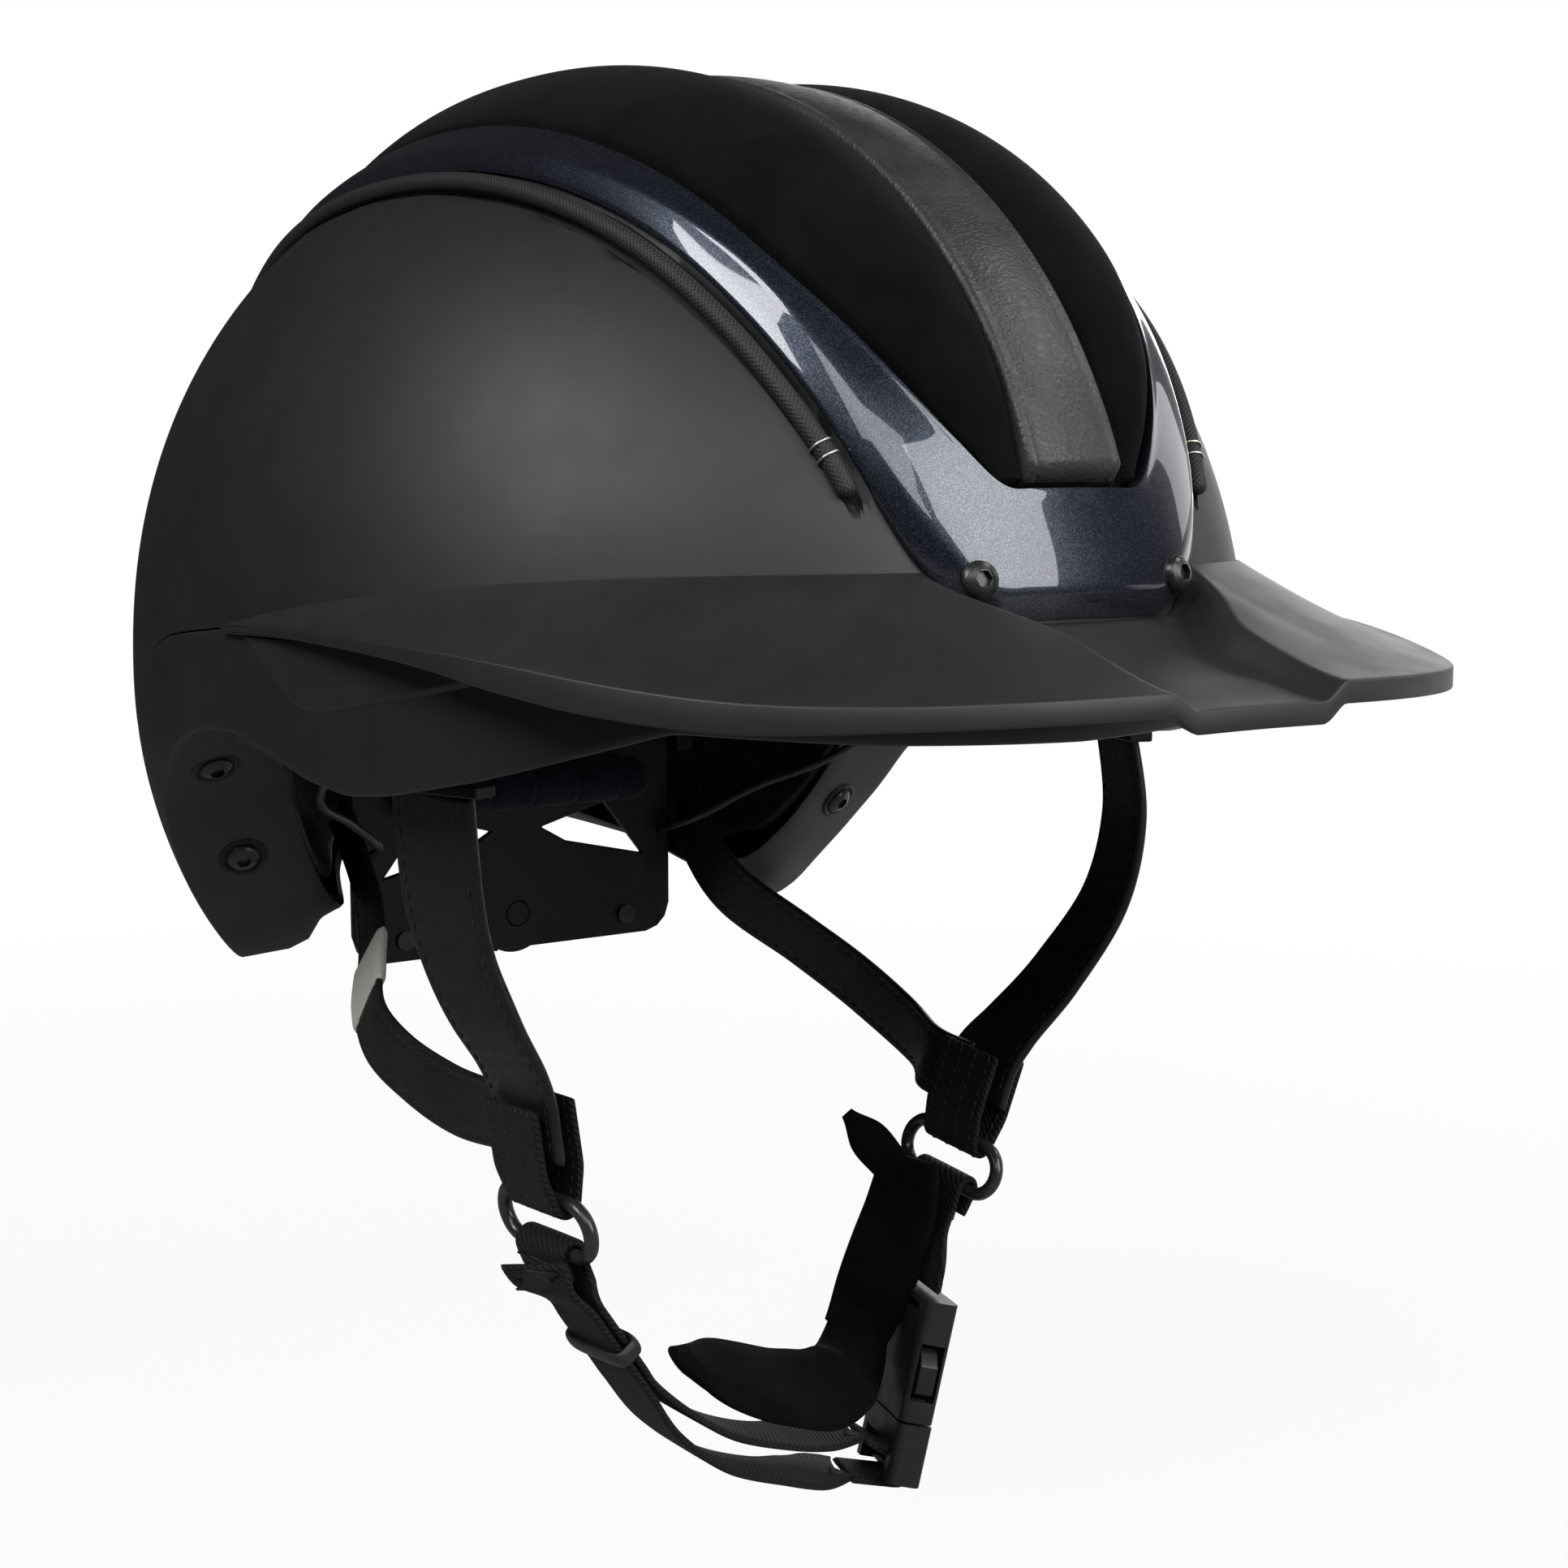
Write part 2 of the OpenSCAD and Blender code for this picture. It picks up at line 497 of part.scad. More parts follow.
module cradle_rivets() {
    color([0.07, 0.07, 0.07]) both_sides() translate([rivet_x, cradle_y, rivet_z]) rotate([90, 0, 0]) {
        cylinder(r = 2.4, h = 1);
        translate([0, 0, -cradle_wall - 1]) cylinder(r = 1.2, h = cradle_wall + 1.5);
    }
}
pad_bar_r = 5.5;
module cradle_pad() {
    reach = cradle_half_width - 10;
    color([0.06, 0.06, 0.07]) translate([0, cradle_y - pad_bar_r - 0.2, cradle_top - 14]) rotate([0, 90, 0])
        rotate_extrude() polygon(concat([[0, -reach]],
            [for (a = [-80:16:0]) [pad_bar_r * cos(a), -reach + pad_bar_r * (1 + sin(a))]],
            [for (a = [0:16:80]) [pad_bar_r * cos(a), reach - pad_bar_r * (1 - sin(a))]], [[0, reach]]));
}
module dial_housing() {
    y0 = cradle_y + cradle_wall;
    color([0.05, 0.05, 0.05]) translate([0, y0, dial_z]) rotate([-90, 0, 0]) rotate_extrude()
        polygon([[dial_r - 3, 0], [dial_r - 1, 0], [dial_r - 1, housing_depth],
            [dial_shaft_r + shaft_gap, housing_depth], [dial_shaft_r + shaft_gap, housing_depth - 1.5],
            [dial_r - 3, housing_depth - 1.5]]);
}
module dial_knob() {
    y0 = cradle_y + cradle_wall;
    grip_n = 16;
    color([0.06, 0.06, 0.06]) translate([0, y0, dial_z]) rotate([-90, 0, 0]) {
        // the shaft runs from the plate's front face through the housing to the knob
        translate([0, 0, -cradle_wall]) cylinder(r = dial_shaft_r, h = cradle_wall + housing_depth + 1);
        // the spool that winds the cables
        translate([0, 0, 0.5]) cylinder(r = dial_r - 5, h = housing_depth - 2.5);
        translate([0, 0, housing_depth + 0.4]) difference() {
            cylinder(r = dial_r, h = dial_depth);
            for (i = [0:grip_n - 1]) rotate([0, 0, 360 * i / grip_n])
                translate([dial_r + 0.5, 0, -1]) cylinder(r = 1.1, h = dial_depth + 2, $fn = 16);
            translate([0, 0, dial_depth - 1.2]) cylinder(r = dial_r - 3.5, h = 2);
        }
    }
}
// Each cable runs from a guide on the foam, along the open side, to the plate's edge
cable_route = concat([for (p = [[70.2, -32, 17], [72.5, -14, 8], [72.5, 10, -2], [67.5, 31, -13],
    [55, 43, -20], [44, 52, -27.5]]) by_cavity(p)],
    [[cradle_half_width - 3, cradle_y - cable_r - 0.2, -32]]);
module tension_cable_left() {
    color([0.3, 0.3, 0.3]) loft(cord_rings(sampled(cable_route, 26), cable_r, 8));
}
module tension_cable_right() { mirror([1, 0, 0]) tension_cable_left(); }
module cable_guide_left() {
    color([0.05, 0.05, 0.05]) difference() {
        translate([cable_route[0][0] - 2, cable_route[0][1] - 8, cable_route[0][2] - 4.5])
            cube([4.2, 9, 9]);
        translate(cable_route[0] - [0, 2, 0]) rotate([-90, 0, 0]) cylinder(r = cable_r + 0.7, h = 6);
    }
}
module cable_guide_right() { mirror([1, 0, 0]) cable_guide_left(); }

// ---- cheek straps ----
// Each side's straps end between the two layers of a webbing fold, which hangs from its middle:
// the fold's centre, the way down to its ring, and the way out from the head
fold_right = by_shell([-60, -50, -70]);
fold_left = by_shell([62, -36, -80]);
down_right = unit([0.155, 0.02, -0.988]);
down_left = unit([-0.28, 0.11, -0.954]);
function square_to(v, d) = unit(v - d * (v * d));
out_right = square_to([-0.98, -0.12, 0], down_right);
out_left = square_to([0.98, 0.1, 0], down_left);
across_right = cross(down_right, out_right);
across_left = cross(out_left, down_left);
rear_width = strap_width * 0.75;
// Places across the fold: the front strap lies outside, the rear strap inside
strap_space = 1.4;
front_off = strap_thick / 2 - 0.15;
rear_off = -web_thick / 2 - 0.5;
layer_off = strap_thick + strap_space + web_thick / 2 - 0.15;

// Centre points and width directions, by hand; the wearer's right hangs nearer the face
front_right = concat([for (p = [[-84, -57, -1.3], [-81, -54, -19.5], [-77, -52, -32.5],
    [-72, -53, -45], [-66, -52.5, -55.5]]) by_shell(p)],
    [for (q = [-5, 4]) fold_right + out_right * front_off + down_right * q]);
front_right_w = [[-0.34, 0.94, 0], [-0.34, 0.94, 0], [-0.3, 0.94, 0], [-0.28, 0.94, 0],
    [-0.2, 0.95, 0], across_right, across_right];
front_left = concat([for (p = [[84, -58, -1.3], [84.5, -60, -17], [82, -57, -36], [76, -48, -54],
    [69, -40.5, -67]]) by_shell(p)],
    [for (q = [-5, 4]) fold_left + out_left * front_off + down_left * q]);
front_left_w = [[0.34, 0.94, 0], [0.3, 0.95, 0], [0.25, 0.95, 0], [0.2, 0.95, 0.1], [0.1, 0.97, 0.1],
    across_left, across_left];
rear_right = concat([for (p = [[-47.3, 66.5, -20], [-46.5, 56.5, -34], [-49.5, 45, -45.5],
    [-57, 31, -55], [-62.5, 16, -61.5], [-63.5, -2, -66], [-62, -20, -69]]) by_cavity(p)],
    [for (q = [14, 2]) fold_right + out_right * rear_off + across_right * q - down_right]);
rear_right_w = [[0.1, 0.8, -0.6], [0.1, 0.78, -0.63], [0.05, 0.6, -0.8], [0, 0.4, -0.9],
    [0, 0.3, -0.95], [0, 0.1, -0.98], [0, 0, -1], down_right, down_right];
rear_left = concat([for (p = [[47.3, 66.5, -20], [46.5, 56.5, -34], [49.5, 45, -46], [59, 29, -57],
    [65.5, 14, -66], [67.5, -6, -75]]) by_cavity(p)],
    [for (q = [14, 2]) fold_left + out_left * rear_off + across_left * q - down_left]);
rear_left_w = [[-0.1, 0.8, -0.6], [-0.1, 0.78, -0.63], [-0.1, 0.6, -0.8], [0, 0.5, -0.87],
    [0, 0.35, -0.93], [0, 0.1, -0.99], down_left, down_left];
module leather_strap(centres, across) {
    color([0.15, 0.15, 0.16]) loft(strip_rings(centres, across, strap_width, strap_thick, 18));
}
module rear_strap(centres, across) {
    color([0.13, 0.13, 0.14]) loft(strip_rings(centres, across, rear_width, web_thick, 22));
}
module front_strap_right() { leather_strap(front_right, front_right_w); }
module front_strap_left() { leather_strap(front_left, front_left_w); }
module rear_strap_right() { rear_strap(rear_right, rear_right_w); }
module rear_strap_left() { rear_strap(rear_left, rear_left_w); }

// A blank tag lies on the right rear strap
module care_tag() {
    lift = web_thick / 2 + 0.45;
    pts = [for (u = [2.5:0.25:3.5]) through(rear_right, u)];
    dirs = [for (u = [2.5:0.25:3.5]) through(rear_right_w, u)];
    raised = [for (i = [0:4]) let (t = unit(pts[min(i + 1, 4)] - pts[max(i - 1, 0)]))
        pts[i] - unit(cross(t, dirs[i])) * lift];
    color([0.55, 0.57, 0.56]) loft(strip_rings(raised, dirs, rear_width + 1, 0.6, 6));
}

// Anchors: a plate under the foam at each front strap, and a foot on the cavity wall at each rear one
module front_anchor(top, across) {
    x = unit([across[0], across[1], 0]);
    y = cross([0, 0, 1], x);
    color([0.05, 0.05, 0.05]) placed([top[0], top[1], 0], x, y, [0, 0, 1])
        translate([-strap_width / 2 - 3, -2.8, 0.2]) cube([strap_width + 6, 5.6, 2.4]);
}
module front_anchor_right() { front_anchor(front_right[0], front_right_w[0]); }
module front_anchor_left() { front_anchor(front_left[0], front_left_w[0]); }
module rear_anchor_left() {
    p = rear_left[0];
    color([0.05, 0.05, 0.05]) translate([p[0] - 2.5, p[1] - 3, p[2] + 7.5]) cube([5, 9, 9]);
}
module rear_anchor_right() { mirror([1, 0, 0]) rear_anchor_left(); }

// ---- rings and webbing folds ----
ring_drop = 18;
ring_bar = web_width + 1.5;
turn_r = ring_wire + soft_gap + web_thick / 2;
bar_up = ring_drop - ring_height / 2;
bar_low = ring_drop + ring_height / 2;
module oval_ring(at, across, down, out) {
    color([0.12, 0.12, 0.13]) placed(at + down * ring_drop, across, -down, out) {
        for (s = [-1, 1]) {
            translate([-ring_bar / 2, s * ring_height / 2, 0]) rotate([0, 90, 0])
                cylinder(r = ring_wire, h = ring_bar);
            translate([s * ring_bar / 2, 0, 0]) rotate([0, 0, s > 0 ? -90 : 90])
                rotate_extrude(angle = 180) translate([ring_height / 2, 0]) circle(r = ring_wire);
        }
    }
}
module ring_right() { oval_ring(fold_right, across_right, down_right, out_right); }
module ring_left() { oval_ring(fold_left, across_left, down_left, out_left); }
// The half turn of a webbing round a bar at drop q, below it when s is 1 and above it when s is -1
function half_turn(at, down, out, q, s) = [for (a = [0:30:180])
    at + out * turn_r * cos(a) + down * (q + s * turn_r * sin(a))];
module strap_fold(at, across, down, out) {
    top = [at + out * layer_off - down * 8, at + out * layer_off + down * 6];
    back = [at - out * layer_off + down * 6, at - out * layer_off - down * 8];
    color([0.06, 0.06, 0.06]) loft(fold_rings(concat(top, half_turn(at, down, out, bar_up, 1), back),
        across, web_width + 1, web_thick));
}
module strap_fold_right() { strap_fold(fold_right, across_right, down_right, out_right); }
module strap_fold_left() { strap_fold(fold_left, across_left, down_left, out_left); }

// ---- chin strap ----
// The webbing runs from the right ring through the keeper and the chin pad to the buckle's plug,
// turns back round the plug's bar, and ends above the keeper
keeper_at = by_shell([-46.5, -52.5, -113.8]);
keeper_along = unit([0.567, 0.05, -0.82]);
keeper_across = square_to([0.12, -0.99, 0], keeper_along);
keeper_out = cross(keeper_along, keeper_across);
layer_gap = 0.5;
pair_off = (web_thick + layer_gap) / 2;
keeper_run = [-12, -6, 6, 12];

// The buckle's own axes: its top, the way down, its width and its thickness towards the head
buckle_top = by_shell([45, -40.5, -125]);
buckle_down = unit([-0.265, 0, -0.964]);
buckle_across = square_to([0.32, 0.925, -0.2], buckle_down);
buckle_in = cross(buckle_across, buckle_down);
function in_buckle(x, z) = buckle_top + buckle_in * x + buckle_down * z;
module on_buckle() { placed(buckle_top, buckle_in, buckle_across, buckle_down) children(); }
bar_z = 39.3;
bar_r = 1.7;
wrap_r = bar_r + soft_gap + web_thick / 2;
wrap_in = [9, bar_z - 5.6];
wrap_out = [10.5, bar_z + 3.4];
end_gap = 1.8;

chin_inner = concat([for (q = keeper_run) keeper_at - keeper_out * pair_off + keeper_along * q],
    [for (p = [[-29, -49.5, -131.5], [-16, -47, -140.5], [-1, -44.5, -147], [13, -40, -151.6]])
        by_shell(p)],
    [for (q = [2.4, 1.2, 0]) in_buckle(wrap_in[0] + end_gap + q, wrap_in[1])]);
chin_inner_w = concat([for (q = keeper_run) -keeper_across],
    [[-0.05, 1, 0], [0, 1, 0], [0, 1, 0], [0.2, 0.95, 0], for (q = [0:2]) buckle_across]);
module chin_webbing() {
    at = fold_right;
    short = [at + out_right * 1.3 + down_right * (bar_low + 5),
        at + out_right * turn_r + down_right * (bar_low + 1)];
    turn = [for (a = [0:30:180]) at + out_right * turn_r * cos(a)
        + down_right * (bar_low - turn_r * sin(a))];
    first = fold_rings(concat(short, turn, [at - out_right * (turn_r - 0.3) + down_right * (bar_low + 4)]),
        across_right, web_width, web_thick);
    color([0.05, 0.05, 0.05]) loft(concat(first, strip_rings(chin_inner, chin_inner_w, web_width,
        web_thick, 30)));
}
chin_outer = concat([for (p = [[-62.5, -53.2, -94.6], [-59.8, -53.2, -99.8]]) by_shell(p)],
    [for (q = keeper_run) keeper_at + keeper_out * pair_off + keeper_along * q],
    [for (p = [[-32, -50, -135.5], [-18, -47.5, -147], [-1, -44.5, -155], [11, -40, -159.8]])
        by_shell(p)],
    [for (q = [2.4, 1.2, 0]) in_buckle(wrap_out[0] + end_gap + q, wrap_out[1])]);
chin_outer_w = concat([[-0.12, 0.99, 0], [-0.12, 0.99, 0]], [for (q = keeper_run) -keeper_across],
    [[-0.05, 1, 0], [0, 1, 0], [0, 1, 0], [0.2, 0.95, 0], for (q = [0:2]) buckle_across]);
module webbing_tail() {
    color([0.05, 0.05, 0.05]) loft(strip_rings(chin_outer, chin_outer_w, web_width, web_thick, 34));
}
module keeper_ring() {
    in_x = web_width / 2 + soft_gap;
    in_y = pair_off + web_thick / 2 + soft_gap;
    wall = 1.4;
    length = 4;
    color([0.05, 0.05, 0.05]) placed(keeper_at - keeper_along * length / 2, keeper_across,
        keeper_out, keeper_along) difference() {
        linear_extrude(length) union() {
            square([2 * in_x, 2 * (in_y + wall)], center = true);
            square([2 * (in_x + wall), 2 * in_y], center = true);
            for (s = [-1, 1], q = [-1, 1]) translate([s * in_x, q * in_y]) circle(r = wall);
        }
        translate([-in_x, -in_y, -1]) cube([2 * in_x, 2 * in_y, length + 2]);
    }
}

// Suede pads: one behind the buckle and under the chin, one on the left strap
pad_soft = 4;
sleeve_soft = 3;
chin_pad_line = [for (p = [[-23, -41, -126], [-14, -42, -133.5], [0, -43, -141], [13, -41.5, -146],
    [23, -38.5, -147.5], [29, -31.8, -146.6], [33.5, -27.6, -142.8]]) by_shell(p)];
module chin_pad() {
    dirs = [[0, 1, 0], [0, 1, 0], [0, 1, 0], [0.15, 1, 0], [0.3, 0.95, -0.1], [-0.3, 0.95, 0],
        [-0.6, 0.8, 0]];
    widths = [5, 18, 22, 22, 21, 15, 11];
    color([0.02, 0.02, 0.02]) loft(strip_rings(chin_pad_line, dirs, widths, pad_soft, 22));
}
sleeve_line = [for (p = [[43, -12, -90], [45.3, -19.5, -94.5], [46.5, -25.4, -101.5], [44.7, -26.1, -112.4],
    [39.7, -25, -127.4], [36.2, -22.9, -139]]) by_shell(p)];
module buckle_sleeve() {
    dirs = [[0.3, 0.6, 0.7], [0.2, 0.75, 0.5], [-0.1, 0.97, 0.1], [-0.1, 0.97, 0], [-0.1, 0.97, 0],
        [-0.15, 0.96, 0]];
    color([0.02, 0.02, 0.02]) loft(strip_rings(sleeve_line, dirs, [4, 9, 17, 19, 18, 16], sleeve_soft, 20));
}
module buckle_tab() {
    at = fold_left;
    short = [at + out_left * 1.3 + down_left * (bar_low + 6),
        at + out_left * turn_r + down_left * (bar_low + 1)];
    turn = [for (a = [0:30:180]) at + out_left * turn_r * cos(a)
        + down_left * (bar_low - turn_r * sin(a))];
    line = [at - out_left * (turn_r - 0.5) + down_left * (bar_low + 8.5), in_buckle(0.2, -8),
        for (q = [-4.5, -2.8, -1]) in_buckle(0, q)];
    color([0.05, 0.05, 0.05]) loft(concat(
        fold_rings(concat(short, turn), across_left, web_width, web_thick),
        strip_rings(line, [across_left, for (q = [0:3]) buckle_across], web_width,
            web_thick, 8)));
}

// ---- side-release buckle ----
// Prong roots sit on the plug's head; the windows in the socket's sides bare the prongs' pads
head_z = socket_length + 0.5;
prong_x = buckle_thick - 2 * socket_wall - 2 * prong_gap;
side_y = buckle_width / 2;
module rounded_bar(x, y, z0, z1, r) {
    translate([0, 0, z0]) linear_extrude(z1 - z0) union() {
        square([x, y - 2 * r], center = true);
        square([x - 2 * r, y], center = true);
        for (a = [-1, 1], b = [-1, 1]) translate([a * (x / 2 - r), b * (y / 2 - r)]) circle(r = r);
    }
}
window_z = [9.5, 22.2];
module buckle_socket() {
    color([0.05, 0.05, 0.06]) on_buckle() difference() {
        rounded_bar(buckle_thick, buckle_width, 0, socket_length, 2);
        // the cavity that takes the prongs
        translate([-buckle_thick / 2 + socket_wall, -side_y + socket_wall, 4.5])
            cube([buckle_thick - 2 * socket_wall, buckle_width - 2 * socket_wall, socket_length]);
        // windows in both sides
        for (s = [-1, 1]) translate([-buckle_thick / 2 + socket_wall * 0.8, s * side_y - 3, window_z[0]])
            cube([buckle_thick - 1.6 * socket_wall, 6, window_z[1] - window_z[0]]);
        // the slot over the webbing's bar
        translate([-buckle_thick / 2 - 1, -web_width / 2 - 0.5, 1.4])
            cube([buckle_thick + 2, web_width + 1, 1.7]);
    }
}
module buckle_plug() {
    slot_z = bar_z - bar_r - 4.4;
    color([0.05, 0.05, 0.06]) on_buckle() {
        difference() {
            rounded_bar(buckle_thick, buckle_width + 1, head_z, bar_z + bar_r, 2);
            translate([-buckle_thick, -web_width / 2 - 0.8, slot_z])
                cube([2 * buckle_thick, web_width + 1.6, bar_z + bar_r + 1 - slot_z]);
        }
        translate([0, -web_width / 2 - 1.2, bar_z]) rotate([-90, 0, 0])
            cylinder(r = bar_r, h = web_width + 2.4);
        // the guide tongue between the prongs
        translate([-prong_x / 2, -2, head_z - 15]) cube([prong_x, 4, 15.2]);
    }
}
// A prong stands on the head, bends at its root and latches in the window
root_z = head_z - 0.3;
module prong() {
    reach = side_y - socket_wall - prong_gap;
    translate([prong_x / 2, 0, root_z]) rotate([0, -90, 0]) linear_extrude(prong_x)
        polygon([[0, reach - 3.2], [0, reach - 0.6], [-5.4, reach - 0.6], [-6.8, reach + socket_wall + 0.6],
            [-13, reach + socket_wall + 0.6], [-17.5, reach - 1.6], [-17.5, reach - 3.8],
            [-12, reach - 3.4]]);
}
module prong_front() { color([0.05, 0.05, 0.06]) on_buckle() mirror([0, 1, 0]) prong(); }
module prong_rear() { color([0.05, 0.05, 0.06]) on_buckle() prong(); }
module plug_wrap() {
    path = concat([in_buckle(wrap_in[0], wrap_in[1]), in_buckle(3.5, bar_z - wrap_r - 0.6)],
        [for (a = [-90:30:90]) in_buckle(-wrap_r * cos(a), bar_z + wrap_r * sin(a))],
        [in_buckle(3.5, bar_z + wrap_r + 0.2), in_buckle(wrap_out[0], wrap_out[1])]);
    color([0.05, 0.05, 0.05]) loft(fold_rings(path, buckle_across, web_width, web_thick));
}

top_shell();
lower_shell();
eps_liner();
visor();
centre_frame();
frame_screws();
suede_panel_right();
suede_panel_left();
centre_strip();
trim_cord_right();
trim_cord_left();
cord_bands();
lobe_screws();
brow_pad();
crown_pad();
temple_pad_right();
temple_pad_left();
cable_guide_right();
cable_guide_left();
tension_cable_right();
tension_cable_left();
cradle_plate();
cradle_rivets();
cradle_pad();
dial_housing();
dial_knob();
front_anchor_right();
front_anchor_left();
rear_anchor_right();
rear_anchor_left();
front_strap_right();
front_strap_left();
rear_strap_right();
rear_strap_left();
care_tag();
strap_fold_right();
strap_fold_left();
ring_right();
ring_left();
chin_webbing();
webbing_tail();
keeper_ring();
chin_pad();
buckle_sleeve();
buckle_tab();
buckle_socket();
buckle_plug();
plug_wrap();
prong_front();
prong_rear();
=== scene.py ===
# %% [markdown]
# Riding helmet, dressed for a photograph.
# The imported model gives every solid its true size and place. It is loaded first and never moved: this script only
# finishes it, and swaps the plain solids of shell, cloth, leather and webbing for finer surfaces of the same size.

# %% Load the frame
import math

import bmesh
import bpy
import numpy as np
from mathutils import Matrix, Vector
from mathutils.bvhtree import BVHTree


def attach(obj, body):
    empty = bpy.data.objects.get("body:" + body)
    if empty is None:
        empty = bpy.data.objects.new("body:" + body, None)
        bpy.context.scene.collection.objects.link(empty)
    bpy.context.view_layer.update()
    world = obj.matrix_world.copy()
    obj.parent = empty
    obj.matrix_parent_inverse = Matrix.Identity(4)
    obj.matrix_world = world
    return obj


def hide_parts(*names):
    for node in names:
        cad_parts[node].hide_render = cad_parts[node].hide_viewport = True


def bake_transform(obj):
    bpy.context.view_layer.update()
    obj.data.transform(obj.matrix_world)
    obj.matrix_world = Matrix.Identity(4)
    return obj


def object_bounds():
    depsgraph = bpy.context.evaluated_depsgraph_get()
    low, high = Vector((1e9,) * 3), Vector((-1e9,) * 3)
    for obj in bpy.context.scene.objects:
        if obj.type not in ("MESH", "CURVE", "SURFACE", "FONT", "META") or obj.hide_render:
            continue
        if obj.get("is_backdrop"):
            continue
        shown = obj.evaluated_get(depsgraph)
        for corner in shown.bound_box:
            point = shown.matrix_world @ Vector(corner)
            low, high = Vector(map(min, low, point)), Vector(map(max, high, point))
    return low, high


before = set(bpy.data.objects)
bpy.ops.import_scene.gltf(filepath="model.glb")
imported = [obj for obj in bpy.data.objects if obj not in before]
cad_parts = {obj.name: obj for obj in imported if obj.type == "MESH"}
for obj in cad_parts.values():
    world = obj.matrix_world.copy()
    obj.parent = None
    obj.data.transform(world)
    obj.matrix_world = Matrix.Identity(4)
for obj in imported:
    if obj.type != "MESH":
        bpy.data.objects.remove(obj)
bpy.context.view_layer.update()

# %% [markdown]
# The camera comes before any looks. The real helmet was photographed from a little to its right and slightly from
# above, with a long lens. The frame's two screws, the visor's ridges and the lobe screws are mirrored pairs, and such
# pairs fix where a camera stands: their middles must fall on the helmet's middle plane.

# %% Camera at the photograph's viewing angle
def linked(name, data):
    """A new object that shows the data, in the scene."""
    made = bpy.data.objects.new(name, data)
    bpy.context.scene.collection.objects.link(made)
    return made


CAMERA_PLACE = Vector((-0.283393, -0.458120, 0.060006))
CAMERA_TURN = math.radians(-34.707)
CAMERA_TILT = math.radians(7.4726)
LENS, SENSOR = 55.9, 36.0

back = Vector((math.sin(CAMERA_TURN) * math.cos(CAMERA_TILT), -math.cos(CAMERA_TURN) * math.cos(CAMERA_TILT),
               math.sin(CAMERA_TILT)))
right = Vector((math.cos(CAMERA_TURN), math.sin(CAMERA_TURN), 0))
up = back.cross(right)
camera_data = bpy.data.cameras.new("camera")
camera_data.lens, camera_data.sensor_width, camera_data.sensor_fit = LENS, SENSOR, "AUTO"
camera_data.clip_start, camera_data.clip_end = 0.01, 20
camera = linked("camera", camera_data)
camera.matrix_world = Matrix.Translation(CAMERA_PLACE) @ Matrix((right, up, back)).transposed().to_4x4()
bpy.context.scene.camera = camera
print("camera stands", round(CAMERA_PLACE.length, 3), "m from the head opening")

# %% [markdown]
# Image points tie the model to the photograph. Each is a feature's place in the picture, scaled to 1568 pixels. One
# function turns such a place into a ray from the camera, and meets a surface of the model with it.

# %% Image points and the placing function
W = H = L = 1568
IMAGE_POINTS = {
    "left_edge": (132.9, None), "right_edge": (1453.5, None), "top_edge": (None, 65.1), "bottom_edge": (None, 1490.6),
    "near_frame_screw": (980.2, 580.1), "far_frame_screw": (1179.0, 573.3),
    "near_cord_bands": (822.4, 448.2), "far_cord_bands": (1195.2, 447.1),
    "low_lobe_screw": (243.2, 857.8), "high_lobe_screw": (215.8, 768.9),
    "right_ring": (548.3, 1224.8), "left_ring": (952.1, 1157.0),
    "buckle": (927.6, 1362.3), "keeper": (603.3, 1347.9), "near_strap": (479.1, 981.3),
    "visor_ridge_end": (1162.1, 702.7),
}


def camera_ray(x, y):
    """The ray through picture point x, y: its start and unit direction in the scene."""
    shift_x, shift_y = camera_data.shift_x, camera_data.shift_y
    aim = Vector((x - W / 2 + shift_x * L, H / 2 - y + shift_y * L, -L * LENS / SENSOR))
    return CAMERA_PLACE, (camera.matrix_world.to_3x3() @ aim).normalized()


def finished_mesh(piece):
    """A piece's points and triangles in the scene, with its modifiers done."""
    mesh = piece.evaluated_get(bpy.context.evaluated_depsgraph_get()).to_mesh()
    mesh.calc_loop_triangles()
    points, corners = np.empty(len(mesh.vertices) * 3), np.empty(len(mesh.loop_triangles) * 3, int)
    mesh.vertices.foreach_get("co", points)
    mesh.loop_triangles.foreach_get("vertices", corners)
    turn = np.array(piece.matrix_world)
    return points.reshape(-1, 3) @ turn[:3, :3].T + turn[:3, 3], corners.reshape(-1, 3)


def joined(meshes):
    """The points of several meshes together, and one tree of their triangles for rays to meet."""
    starts = np.cumsum([0] + [len(p) for p, f in meshes])
    points = np.concatenate([p for p, f in meshes])
    corners = np.concatenate([f + n for (p, f), n in zip(meshes, starts)])
    return points, BVHTree.FromPolygons(points.tolist(), corners.tolist())


def placed_on(name, *carriers):
    """Where the ray through an image point meets the carriers; a miss takes their place nearest the ray."""
    points, tree = joined([finished_mesh(piece) for piece in carriers])
    start, aim = camera_ray(*IMAGE_POINTS[name])
    place = tree.ray_cast(start, aim)[0]
    if place is None:
        away = points - np.array(start)
        off = np.linalg.norm(away - (away @ np.array(aim))[:, None] * np.array(aim), axis=1)
        place = Vector(points[off.argmin()])
    return place


print(len(IMAGE_POINTS), "image points")

# %% [markdown]
# A plain studio: a white sweep and six soft boxes. The white seen by the eye, and low down by mirror-like surfaces,
# comes from the world's own colour, so it puts no light on the object. Higher up the room is dim, as a studio is: it
# is why black plastic in such a picture has dark edges. The front box stands where its right edge mirrors in the
# middle of the front plate and splits it into a bright and a dark half.

# %% World and lamps
TO_RIGHT, TO_BACK = (0.75, -0.66, 0), (0.66, 0.75, 0)  # as the camera sees them, along the floor


